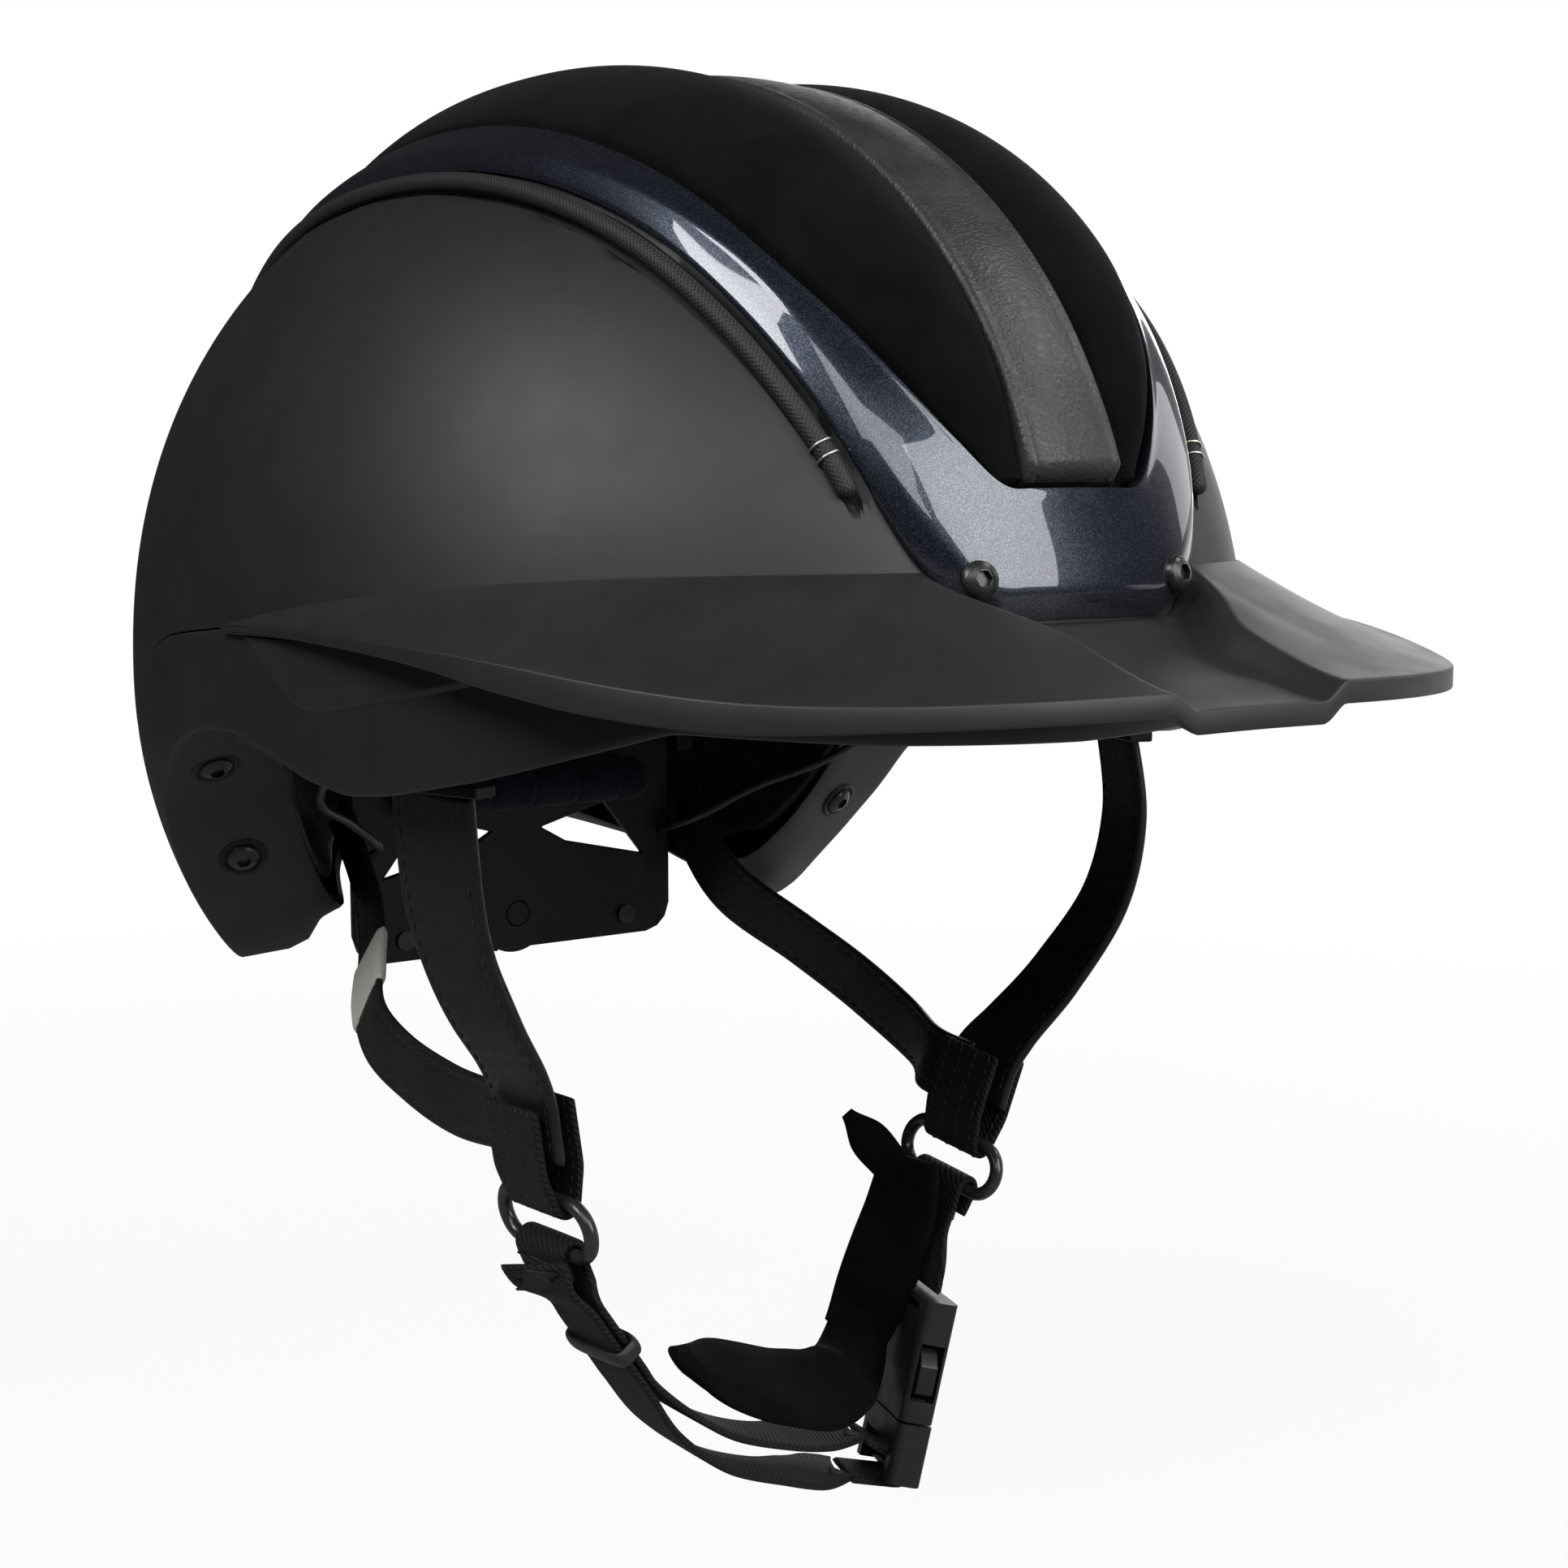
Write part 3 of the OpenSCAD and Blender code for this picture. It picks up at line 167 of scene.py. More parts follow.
def math_node(tree, kind, *values, clamp=False):
    """A Math node of that kind; each value is a number or the socket that feeds it."""
    node = tree.nodes.new("ShaderNodeMath")
    node.operation, node.use_clamp = kind, clamp
    for socket, value in zip(node.inputs, values):
        if isinstance(value, (int, float)):
            socket.default_value = value
        else:
            tree.links.new(value, socket)
    return node.outputs[0]


def glow_of(tree, strength):
    """White light of a strength."""
    background = tree.nodes.new("ShaderNodeBackground")
    background.inputs["Color"].default_value = (1, 1, 1, 1)
    background.inputs["Strength"].default_value = strength
    return background.outputs[0]


def blended(tree, share, first, second):
    """first where share is 0 and second where it is 1."""
    node = tree.nodes.new("ShaderNodeMixShader")
    for socket, value in zip(node.inputs, (share, first, second)):
        tree.links.new(value, socket)
    return node.outputs[0]


def along(tree, vector, direction):
    """How far a vector points along a direction: their dot product."""
    node = tree.nodes.new("ShaderNodeVectorMath")
    node.operation, node.inputs[1].default_value = "DOT_PRODUCT", direction
    tree.links.new(vector, node.inputs[0])
    return node.outputs["Value"]


def ramp(tree, value, start, width):
    """0 up to a start and 1 from a width further on; a width below 0 runs the other way."""
    return math_node(tree, "DIVIDE", math_node(tree, "SUBTRACT", value, start), width, clamp=True)


def rays_of(tree):
    """1 for rays off mirror-like surfaces, and 1 for rays of the eye, straight or through something clear."""
    out = tree.nodes.new("ShaderNodeLightPath").outputs
    return out["Is Glossy Ray"], math_node(tree, "MAXIMUM", out["Is Camera Ray"], out["Is Transmission Ray"])


def soft_box(name, place, aim, wide, tall, power):
    """A rectangular lamp at a place, turned to face a point."""
    data = bpy.data.lights.new(name, "AREA")
    data.shape, data.size, data.size_y, data.energy = "RECTANGLE", wide, tall, power
    lamp = linked(name, data)
    lamp.location = place
    lamp.rotation_euler = (Vector(aim) - Vector(place)).to_track_quat("-Z", "Y").to_euler()


bpy.context.scene.view_settings.view_transform = "Standard"
world = bpy.data.worlds.new("studio")
bpy.context.scene.world = world
world.use_nodes = True
tree = world.node_tree
tree.nodes.clear()
where = tree.nodes.new("ShaderNodeTexCoord").outputs["Generated"]
glossy, eye = rays_of(tree)
low_sky = ramp(tree, along(tree, where, (0, 0, 1)), 0.3, -0.3)
panel = math_node(tree, "MULTIPLY", ramp(tree, along(tree, where, TO_BACK), 0.5, 0.2),
                  ramp(tree, along(tree, where, TO_RIGHT), -0.04, 0.12))
mirror = math_node(tree, "MULTIPLY", glossy, math_node(tree, "MULTIPLY", low_sky, panel))
room = blended(tree, glossy, glow_of(tree, 0.08), glow_of(tree, 0.02))
tree.links.new(blended(tree, math_node(tree, "MAXIMUM", eye, mirror), room, glow_of(tree, 1.0)),
               tree.nodes.new("ShaderNodeOutputWorld").inputs["Surface"])
soft_box("key_box", (-0.98, -0.06, 0.78), (0, 0, 0.05), 0.5, 0.5, 9.0)
soft_box("left_front_box", (-0.62, -0.98, 0.85), (0, -0.05, 0.05), 1.25, 0.6, 9.5)
soft_box("front_box", (0.34, -1.18, 0.52), (0, -0.14, 0.045), 0.72, 0.95, 13.0)
soft_box("right_box", (1.13, -0.14, 0.42), (0.03, -0.13, 0.06), 0.4, 0.4, 1.0)
soft_box("back_box", (1.1, 0.85, 0.40), (0.1, -0.1, 0.03), 0.8, 0.7, 5.0)
soft_box("strip_box", (0.79, -0.39, 0.98), (0, -0.12, 0.08), 0.35, 0.35, 2.6)
print("six soft boxes, a dim room and a white sweep")

# %% [markdown]
# The floor shows white to the eye, apart from a soft shadow near the object. Mirror-like surfaces see it white where
# the photographer's sweep lay: under the object, and behind it to the right. All other light meets grey paint, so the
# floor throws little of it back up.

# %% Pale floor
FLOOR_Z, FLOOR_REACH = -0.23, 9
SEEN_PAINT, UNSEEN_PAINT = 0.85, 0.2  # the paint's grey to the eye, and to all other light
PAINT_SHARE = 0.13  # how much of the floor near the object is paint to the eye, so that it takes a shadow
UNDER_SHARE = 0.2  # how white the floor under the object is to mirror-like surfaces
floor_mesh = bpy.data.meshes.new("floor")
floor_mesh.from_pydata([(x * FLOOR_REACH, y * FLOOR_REACH, FLOOR_Z) for x, y in ((-1, -1), (1, -1), (1, 1), (-1, 1))],
                       [], [(0, 1, 2, 3)])
floor = linked("floor", floor_mesh)
floor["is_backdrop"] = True
pale = bpy.data.materials.new("pale_floor")
pale.use_nodes = True
tree = pale.node_tree
tree.nodes.clear()
where, far = tree.nodes.new("ShaderNodeTexCoord").outputs["Object"], tree.nodes.new("ShaderNodeVectorMath")
matt, paint = tree.nodes.new("ShaderNodeBsdfDiffuse"), tree.nodes.new("ShaderNodeMix")
glossy, eye = rays_of(tree)
paint.data_type = "RGBA"
for socket, grey in ((6, SEEN_PAINT), (7, UNSEEN_PAINT)):
    paint.inputs[socket].default_value = (grey, grey, grey, 1)
tree.links.new(math_node(tree, "SUBTRACT", 1.0, eye), paint.inputs[0])
tree.links.new(paint.outputs[2], matt.inputs["Color"])
far.operation = "LENGTH"
tree.links.new(where, far.inputs[0])
near = math_node(tree, "MULTIPLY", ramp(tree, far.outputs["Value"], 1.1, -0.7), PAINT_SHARE)
under = math_node(tree, "MULTIPLY", ramp(tree, far.outputs["Value"], 0.6, -0.35), UNDER_SHARE)
sweep = math_node(tree, "MULTIPLY", ramp(tree, along(tree, where, TO_RIGHT), 0, 0.2),
                  ramp(tree, along(tree, where, TO_BACK), 0, 0.4))
mirror = math_node(tree, "MULTIPLY", glossy, math_node(tree, "MAXIMUM", under, sweep))
share = math_node(tree, "MULTIPLY", math_node(tree, "MAXIMUM", eye, mirror), math_node(tree, "SUBTRACT", 1.0, near))
glow = tree.nodes.new("ShaderNodeEmission")
glow.inputs["Strength"].default_value = 1.0
tree.links.new(blended(tree, share, matt.outputs[0], glow.outputs[0]),
               tree.nodes.new("ShaderNodeOutputMaterial").inputs["Surface"])
floor_mesh.materials.append(pale)
print("pale floor at", round(1000 * FLOOR_Z), "mm")

# %% [markdown]
# A finish is a small node graph, and almost all of them need the same three steps: a colour that wanders a little
# between two tones, a roughness that does the same, and a fine relief that catches the light. One call writes them
# all. A pattern is given by a number, the grain of plain noise in millimetres, or by its kind and its measures.

# %% Helpers for finishes
def speckle(material, kind, size_mm, detail=3.0, source="Object", stretch=(1, 1, 1)):
    """A noise or cell pattern with features of about size_mm, on the piece's own coordinates or on its UV map."""
    n, l = material.node_tree.nodes, material.node_tree.links
    where, size = n.new("ShaderNodeTexCoord"), n.new("ShaderNodeMapping")
    node = n.new("ShaderNodeTexNoise" if kind == "noise" else "ShaderNodeTexVoronoi")
    size.inputs["Scale"].default_value = [s * (1000 if source == "Object" else 1) for s in stretch]
    node.inputs["Scale"].default_value = 1 / size_mm
    if kind == "noise":
        node.inputs["Detail"].default_value = detail
    l.new(where.outputs[source], size.inputs["Vector"])
    l.new(size.outputs[0], node.inputs["Vector"])
    return node.outputs["Fac" if kind == "noise" else "Distance"]


def ribs(material, x, y, pitch_mm):
    """A weave's ribs: waves that follow each other in the direction (x, y) of the UV map, one each pitch_mm."""
    n, l = material.node_tree.nodes, material.node_tree.links
    spin, size, wave = (n.new("ShaderNode" + kind) for kind in ("VectorRotate", "Mapping", "TexWave"))
    spin.rotation_type = "Z_AXIS"
    spin.inputs["Angle"].default_value = -math.atan2(y, x)
    # at scale 1 the wave node makes one band each 2*pi/20 units
    size.inputs["Scale"].default_value = [2 * math.pi / 20 / pitch_mm] * 3
    wave.wave_type, wave.bands_direction, wave.wave_profile = "BANDS", "X", "SIN"
    wave.inputs["Scale"].default_value = 1.0
    wave.inputs["Distortion"].default_value = 0.0
    l.new(n.new("ShaderNodeTexCoord").outputs["UV"], spin.inputs["Vector"])
    l.new(spin.outputs[0], size.inputs["Vector"])
    l.new(size.outputs[0], wave.inputs["Vector"])
    return wave.outputs["Fac"]


def pattern_of(material, pattern):
    """The socket of a pattern: a number is the grain of plain noise, a tuple is a kind with its measures."""
    if not isinstance(pattern, tuple):
        return speckle(material, "noise", pattern)
    return ribs(material, *pattern[1:]) if pattern[0] == "ribs" else speckle(material, *pattern)


def add_relief(material, pattern, depth_mm, strength=1.0):
    """Raises the surface by a pattern; a second call adds to the first."""
    n, l = material.node_tree.nodes, material.node_tree.links
    shader = n["Principled BSDF"]
    bump = n.new("ShaderNodeBump")
    bump.inputs["Distance"].default_value = depth_mm / 1000
    bump.inputs["Strength"].default_value = strength
    l.new(pattern_of(material, pattern), bump.inputs["Height"])
    if shader.inputs["Normal"].is_linked:
        l.new(shader.inputs["Normal"].links[0].from_socket, bump.inputs["Normal"])
    l.new(bump.outputs[0], shader.inputs["Normal"])


def between(material, socket, pattern, low, high, start=0.3, end=0.7):
    """Lets a pattern move a socket between two values, colours or numbers, over its range from start to end."""
    n, l = material.node_tree.nodes, material.node_tree.links
    if isinstance(low, tuple):
        span = n.new("ShaderNodeValToRGB")
        for element, place, colour in zip(span.color_ramp.elements, (start, end), (low, high)):
            element.position, element.color = place, (*colour, 1)
    else:
        span = n.new("ShaderNodeMapRange")
        for k, value in enumerate((start, end, low, high)):
            span.inputs[k + 1].default_value = value
    l.new(pattern_of(material, pattern), span.inputs[0])
    l.new(span.outputs[0], n["Principled BSDF"].inputs[socket])


def new_finish(name, colour, roughness, specular=0.5, tone=None, rough=None, relief=(), **sockets):
    """A finish in one call: tone and rough are a pattern and what it moves between, relief lists patterns with their
    depths and strengths, and further sockets are set by name."""
    material = bpy.data.materials.new(name)
    material.use_nodes = True
    shader = material.node_tree.nodes["Principled BSDF"]
    shader.inputs["Base Color"].default_value = (*colour, 1)
    for socket, value in {"Roughness": roughness, "Specular_IOR_Level": specular, **sockets}.items():
        shader.inputs[socket.replace("_", " ")].default_value = value
    for socket, change in (("Base Color", tone), ("Roughness", rough)):
        if change:
            between(material, socket, *change)
    for height in relief:
        add_relief(material, *height)
    return material


print("finish helpers ready")

# %% [markdown]
# The hard finishes. The shell is a soft-touch matt lacquer: almost no gloss, so its roundness shows as one broad
# light area. The frame is car lacquer: a navy base with fine metal flakes under a clear coat. A cell pattern smaller
# than half a millimetre turns single flakes brighter, and the clear coat on top stays smooth.

# %% Hard finishes
shell_matt = new_finish("shell_matt", (0.0065, 0.0065, 0.0068), 0.54, rough=(14, 0.51, 0.57), relief=[(0.35, 0.012)],
                        tone=(38, (0.0058, 0.0058, 0.006), (0.0078, 0.0078, 0.008)))
rib_matt = new_finish("visor_matt", (0.011, 0.011, 0.0113), 0.52, rough=(12, 0.48, 0.56), relief=[(0.4, 0.014)],
                      tone=(30, (0.0095, 0.0095, 0.0098), (0.013, 0.013, 0.0133)))
flake_navy = new_finish("flake_navy", (0.04, 0.05, 0.07), 0.3, rough=(20, 0.26, 0.34),
                        tone=(("cell", 0.26), (0.085, 0.10, 0.13), (0.014, 0.018, 0.028), 0.12, 0.5),
                        relief=[(("noise", 0.3, 1.0), 0.012)], Metallic=0.75, Coat_Weight=1.0, Coat_Roughness=0.03)
screw_satin = new_finish("screw_satin", (0.012, 0.012, 0.012), 0.32, rough=(3, 0.26, 0.4), relief=[(0.3, 0.008)])
moulded_black = new_finish("moulded_black", (0.005, 0.005, 0.0053), 0.45, 0.22, rough=(2.5, 0.34, 0.5),
                           tone=(9, (0.0045, 0.0045, 0.0048), (0.0065, 0.0065, 0.0068)), relief=[(0.5, 0.02)])
buckle_black = new_finish("buckle_black", (0.007, 0.007, 0.0075), 0.42, 0.4, rough=(4, 0.36, 0.48),
                          relief=[(0.6, 0.012)])
ring_gloss = new_finish("ring_gloss", (0.02, 0.02, 0.021), 0.24, rough=(5, 0.18, 0.32))
silver_thread = new_finish("silver_thread", (0.72, 0.69, 0.6), 0.34, tone=(0.6, (0.5, 0.47, 0.38), (0.8, 0.77, 0.68)),
                           Metallic=1.0)
cable_sheath = new_finish("cable_sheath", (0.02, 0.02, 0.021), 0.38, 0.4,
                          tone=(6, (0.014, 0.014, 0.015), (0.028, 0.028, 0.029)))
bead_foam = new_finish("bead_foam", (0.014, 0.014, 0.015), 0.6, 0.3, relief=[(("cell", 2.6), 0.25, 0.8)],
                       tone=(("cell", 2.6), (0.02, 0.02, 0.021), (0.009, 0.009, 0.01), 0, 0.6))
print("hard finishes:", [m.name for m in bpy.data.materials])

# %% [markdown]
# The soft finishes. Suede is a dense short nap: no gloss, a faint sheen, and a cloudy tone where the nap lies another
# way. Leather has pebbles of about a millimetre with creases between them, which a cell pattern gives. Webbing is a
# twill, so its ribs run aslant: they follow the piece's own UV map, written in millimetres along and across it. On the
# webbing and the braid the tone follows the ribs, paler on their crests and darker in their grooves: painted shade.

# %% Soft finishes
def leather(name, dark, light, pebble_mm, depth_mm, roughness, specular=0.25):
    """Leather: pebbles as cells with soft creases between them, fine pores, and a tone that wanders slowly."""
    return new_finish(name, light, roughness, specular, tone=(pebble_mm * 9, dark, light),
                      rough=(pebble_mm * 2, roughness - 0.08, roughness + 0.08),
                      relief=[(("cell", pebble_mm, 0, "Object", (1, 1.7, 1)), depth_mm, 0.7),
                              (("noise", pebble_mm * 0.35, 2), depth_mm * 0.3, 0.6)])


suede_black = new_finish("suede_black", (0.003, 0.003, 0.0032), 0.95, 0.04, Sheen_Weight=0.03, Sheen_Roughness=0.4,
                         tone=(("noise", 16, 5), (0.0022, 0.0022, 0.0024), (0.0052, 0.0052, 0.0055)),
                         relief=[(("noise", 0.5, 4), 0.08), (6, 0.12)])
strip_leather = leather("strip_leather", (0.02, 0.02, 0.0205), (0.032, 0.032, 0.0325), 0.9, 0.12, 0.42, 0.4)
strap_leather = leather("strap_leather", (0.0075, 0.0075, 0.0078), (0.011, 0.011, 0.0113), 1.3, 0.08, 0.46)
rear_leather = leather("rear_leather", (0.0075, 0.0075, 0.0078), (0.011, 0.011, 0.0113), 1.2, 0.08, 0.44)
stitch_thread = new_finish("stitch_thread", (0.01, 0.01, 0.0105), 0.6, 0.3,
                           tone=(0.4, (0.006, 0.006, 0.0065), (0.018, 0.018, 0.019)))
TWILL, BRAID, BRAID_BACK = ("ribs", 1.0, 0.8, 1.1), ("ribs", 1.0, 1.0, 0.7), ("ribs", 1.0, -1.0, 0.7)
# the twill's tone follows its ribs: paler on the crests and darker in the grooves between them, which is painted shade
twill_black = new_finish("twill_black", (0.005, 0.005, 0.0053), 0.7, 0.2, Sheen_Weight=0.02,
                         tone=(TWILL, (0.003, 0.003, 0.0033), (0.009, 0.009, 0.0095), 0.2, 0.9),
                         relief=[(TWILL, 0.22, 0.8), (("ribs", 0.0, 1.0, 0.55), 0.05, 0.6)])
# the braid's tone follows one set of its ribs: paler on the crests and darker in the grooves, which is painted shade
braid_black = new_finish("braid_black", (0.012, 0.012, 0.012), 0.6, 0.35, relief=[(BRAID, 0.08, 0.6),
                                                                                  (BRAID_BACK, 0.08, 0.6)],
                         tone=(BRAID, (0.008, 0.008, 0.008), (0.022, 0.022, 0.022), 0.1, 1))
lining_navy = new_finish("lining_navy", (0.008, 0.009, 0.016), 0.85, 0.15, relief=[(("cell", 1.4), 0.18, 0.9)],
                         tone=(("cell", 1.4), (0.012, 0.014, 0.024), (0.005, 0.006, 0.012), 0, 0.6), Sheen_Weight=0.08)
tag_weave = new_finish("tag_weave", (0.33, 0.35, 0.29), 0.7, 0.2, relief=[(("ribs", 1.0, 0.0, 0.5), 0.05, 0.6)],
                       tone=(("noise", 0.7, 3, "UV", (1, 3, 1)), (0.31, 0.33, 0.28), (0.42, 0.44, 0.39)))
band_rubber = new_finish("band_rubber", (0.014, 0.014, 0.014), 0.5, 0.4, relief=[(0.6, 0.03)],
                         tone=(2, (0.01, 0.01, 0.01), (0.02, 0.02, 0.02)))
print("soft finishes:", len(bpy.data.materials), "materials in all")

# %% [markdown]
# Every new piece is a net of points worked out as whole arrays. The sizes below repeat the model's own, in
# millimetres. A net becomes a mesh in one place, which closes it, turns its faces outwards by the sign of its volume,
# and writes a UV map in millimetres, so that weaves keep their scale along a strap.

# %% Arithmetic of the model, as arrays
def mix(a, b, f):
    """a at f = 0 and b at f = 1."""
    return a + (b - a) * f


def smooth(f):
    """An S curve from 0 to 1: three f squared minus two f cubed."""
    c = np.clip(f, 0, 1)
    return c * c * (3 - 2 * c)


def spow(w, e):
    """A power that keeps its sign."""
    return np.sign(w) * np.abs(w) ** e


def unit(v):
    """Vectors at length one."""
    return v / np.maximum(np.linalg.norm(v, axis=-1, keepdims=True), 1e-9)


def through(knots, u):
    """A smooth curve through the knots at u = 0, 1, 2...: each span is the cubic that keeps its neighbours' slope."""
    k = np.asarray(knots, float)
    k = k[:, None] if k.ndim == 1 else k
    u = np.atleast_1d(np.asarray(u, float))
    i = np.clip(np.floor(u).astype(int), 0, len(k) - 2)
    f = (u - i)[:, None]
    p0, p1, p2, p3 = k[np.maximum(i - 1, 0)], k[i], k[i + 1], k[np.minimum(i + 2, len(k) - 1)]
    bend, twist = 2 * p0 - 5 * p1 + 4 * p2 - p3, 3 * p1 - p0 - 3 * p2 + p3
    return 0.5 * (2 * p1 + (p2 - p0) * f + bend * f ** 2 + twist * f ** 3)


def table(x, pairs):
    """A value read off a list of pairs, with straight lines between them."""
    pairs = np.array(pairs, float)
    return np.interp(x, pairs[:, 0], pairs[:, 1])


def eased_table(x, pairs, reach):
    """The same, with each corner rounded by an average over a reach to both sides."""
    return np.mean([table(x + s * reach, pairs) for s in np.linspace(-1, 1, 9)], axis=0)


def run_of(line):
    """How far along a line of points each point lies."""
    return np.concatenate([[0], np.cumsum(np.linalg.norm(np.diff(line, axis=0), axis=1))])


def sampled(rows, known, wanted):
    """Rows that belong to known places, read off at the wanted places."""
    return np.stack([np.interp(wanted, known, column) for column in rows.T], axis=1)


def circle(n):
    """The cosines and sines of n even steps round a circle, as columns."""
    a = np.linspace(0, 2 * np.pi, n, endpoint=False)[:, None]
    return np.cos(a), np.sin(a)


SIDES = ((-1, "right"), (1, "left"))
# both domes have their widest level at SHELL_LEVEL; SHELL and CAVITY are their half axes in x, y and upwards
SHELL_LEVEL, LOBE_TIP, NECK_TUCK, HALF_POWER = 14.3, -52.0, 0.055, 2.15 / 2
SHELL = np.array([105.8, 141.0, 120.5])
CAVITY = np.array([78.0, 105.0, 93.0])


def on_dome(d, axes):
    """The dome in direction d: each half axis times its component to the power 1/1.075; below the widest level the
    sides tuck in with the square of the depth. axes may differ from point to point."""
    axes = np.asarray(axes, float)
    p = spow(d, 1 / HALF_POWER) * axes
    z = SHELL_LEVEL + p[..., 2]
    neck = np.where(z > SHELL_LEVEL, 1, 1 - NECK_TUCK * ((SHELL_LEVEL - z) / (SHELL_LEVEL - LOBE_TIP)) ** 2)
    return np.stack([p[..., 0] * neck, p[..., 1] * neck, z], axis=-1)


def grown(axes, off):
    """The half axes made longer by off, which may be an array."""
    return np.asarray(axes, float) + np.asarray(off, float)[..., None]


def level_direction(t, z, axes):
    """The direction at turn t (0 in front, 90 on the wearer's left) and level z."""
    axes = np.asarray(axes, float)
    s = np.clip(spow((z - SHELL_LEVEL) / axes[..., 2], HALF_POWER), -0.9999, 0.9999)
    c, t = np.sqrt(1 - s * s), np.radians(t)
    return np.stack([c * np.sin(t), -c * np.cos(t), s + 0 * t], axis=-1)


def at_level(t, z, axes):
    """The dome's point at turn t and level z."""
    return on_dome(level_direction(t, z, axes), axes)


def arc_direction(x, p, axes):
    """The direction at distance x from the middle and arc p (0 in front, 90 on the crown)."""
    axes = np.asarray(axes, float)
    dx = spow(x / axes[..., 0], HALF_POWER)
    r, p = np.sqrt(np.maximum(1 - dx * dx, 0)), np.radians(p)
    return np.stack([dx + 0 * p, -r * np.cos(p), r * np.sin(p)], axis=-1)


def at_arc(x, p, axes):
    """The dome's point at distance x from the middle and arc p."""
    return on_dome(arc_direction(x, p, axes), axes)


print("widest point of the shell, mm:", np.round(at_level(90.0, SHELL_LEVEL, SHELL), 1))

# %% Net to mesh
def hand_over(piece, replaces, body):
    if replaces:
        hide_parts(*replaces)
    if body:
        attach(piece, body)


def add_piece(name, points, faces, finish, body, replaces=(), slot=None, uv=None, smooth_angle=50):
    points = np.asarray(points, float)
    volume = 0.0
    for f in faces:
        for k in range(1, f.shape[1] - 1):
            area = np.cross(points[f[:, k]], points[f[:, k + 1]])
            volume += np.einsum("ij,ij->i", points[f[:, 0]], area).sum() / 6
    if volume < 0:
        faces = [f[:, ::-1] for f in faces]
    mesh = bpy.data.meshes.new(name)
    mesh.from_pydata((points / 1000).tolist(), [], [q for f in faces for q in f.tolist()])
    if uv is not None:
        corners = np.concatenate([f.ravel() for f in faces])
        mesh.uv_layers.new(name="UVMap").data.foreach_set("uv", uv[corners].ravel())
    mesh.shade_smooth()
    if smooth_angle:
        mesh.set_sharp_from_angle(angle=math.radians(smooth_angle))
    mesh.materials.append(finish)
    piece = linked(name, mesh)
    hand_over(piece, replaces, body)
    return piece


def net_faces(n, m, closed=False):
    """The four-cornered faces of n rings of m points; closed joins the last ring to the first."""
    i, k = np.meshgrid(np.arange(n if closed else n - 1), np.arange(m), indexing="ij")
    i, k = i.ravel(), k.ravel()
    j, l = (i + 1) % n, (k + 1) % m
    return np.stack([i * m + k, i * m + l, j * m + l, j * m + k], axis=1)


def skin(rings, closed=False):
    """Points and faces of a skin through rings of points (n, m, 3); open ends get a fan to their middle point."""
    n, m = rings.shape[:2]
    points, faces = rings.reshape(-1, 3), [net_faces(n, m, closed)]
    if not closed:
        points = np.concatenate([points, rings[0].mean(0)[None], rings[-1].mean(0)[None]])
        k = np.arange(m)
        l = (k + 1) % m
        faces += [np.stack([l, k, np.full(m, n * m)], 1),
                  np.stack([(n - 1) * m + k, (n - 1) * m + l, np.full(m, n * m + 1)], 1)]
    return points, faces


def add_loft(name, rings, finish, body, closed=False, **more):
    """A skin as a piece. Its UV map runs in millimetres along the rings and round them."""
    points, faces = skin(rings, closed)
    along = run_of(rings.mean(1))
    step = np.linalg.norm(np.roll(rings, -1, axis=1) - rings, axis=2).mean(0)
    around = np.concatenate([[0], np.cumsum(step)[:-1]])
    uv = np.stack(np.meshgrid(along, around, indexing="ij"), axis=-1).reshape(-1, 2)
    if not closed:
        middle = around[len(around) // 2]
        uv = np.concatenate([uv, [[along[0], middle], [along[-1], middle]]])
    return add_piece(name, points, faces, finish, body, uv=uv, **more)


def rings_of(rows):
    """Rows that each run along a piece, turned into rings round it."""
    return np.array(rows).transpose(1, 0, 2)


print("net helpers ready")

# %% [markdown]
# The upper shell. On the real helmet it is one moulding with a shallow groove beside the glossy frame, where the
# braided cord lies. A net whose rows run parallel to the frame's edge lets that groove have crisp sides with few
# points: each point slides on the dome from the frame's edge down to the seam, closely spaced near the edge.

# %% Outline of the frame and of the seam
FRAME_EDGE = [[0, 8], [12.6, 8], [21, 8.4], [29.5, 11.8], [35.5, 17.5], [42, 29], [47.5, 41], [52.3, 54], [56, 66],
              [59, 80], [60.5, 95], [60, 112], [56, 131], [46, 149], [28, 161], [11, 165.5], [0, 165.5]]
FRAME_INNER = [[0, 18.2], [9, 18.2], [15, 18.5], [20, 21], [27, 26.5], [34, 34], [40, 42.5], [44.5, 54], [48, 66],
               [50, 80], [50.5, 95], [49, 112], [44, 130], [34, 145], [20, 154], [8, 157], [0, 157]]
RIM = [[0, 12], [20, 13], [38, 15], [47, 10], [56, 5], [65, 1], [70, 0], [75, 2], [80, 6], [85, 8.7], [90, 8.5],
       [95, 4.5], [101, -4], [105, -13], [108, -23], [112.5, -35], [118, -48], [121, -52], [126, -51], [140, -42],
       [160, -33], [180, -30]]
SEAM = [[0, 30], [85, 29.5], [97, 26], [104, 21], [109, 14], [114, 5], [122, -6], [135, -12], [180, -14]]
LOBE_SHARE = [[0, 0], [88, 0], [97, 0.35], [104, 1], [180, 1]]
CORD_EDGE = [[p, x] for x, p in FRAME_EDGE[4:14]]
CORD_OFF = 3.6  # from the frame's edge to the middle of the cord


def turn_of(t):
    """The turn from the front, the same on both sides, from 0 to 180."""
    return np.abs((np.asarray(t, float) + 180) % 360 - 180)


def seam_z(t):
    """The height of the seam between the two shells at turn t."""
    return eased_table(turn_of(t), SEAM, 1.5)


def rim_z(t):
    """The height of the lower shell's edge at turn t."""
    return eased_table(turn_of(t), RIM, 1.0)


def lobe_of(t):
    """0 in front and over the ears, 1 in the lobes behind them."""
    return eased_table(turn_of(t), LOBE_SHARE, 1.0)


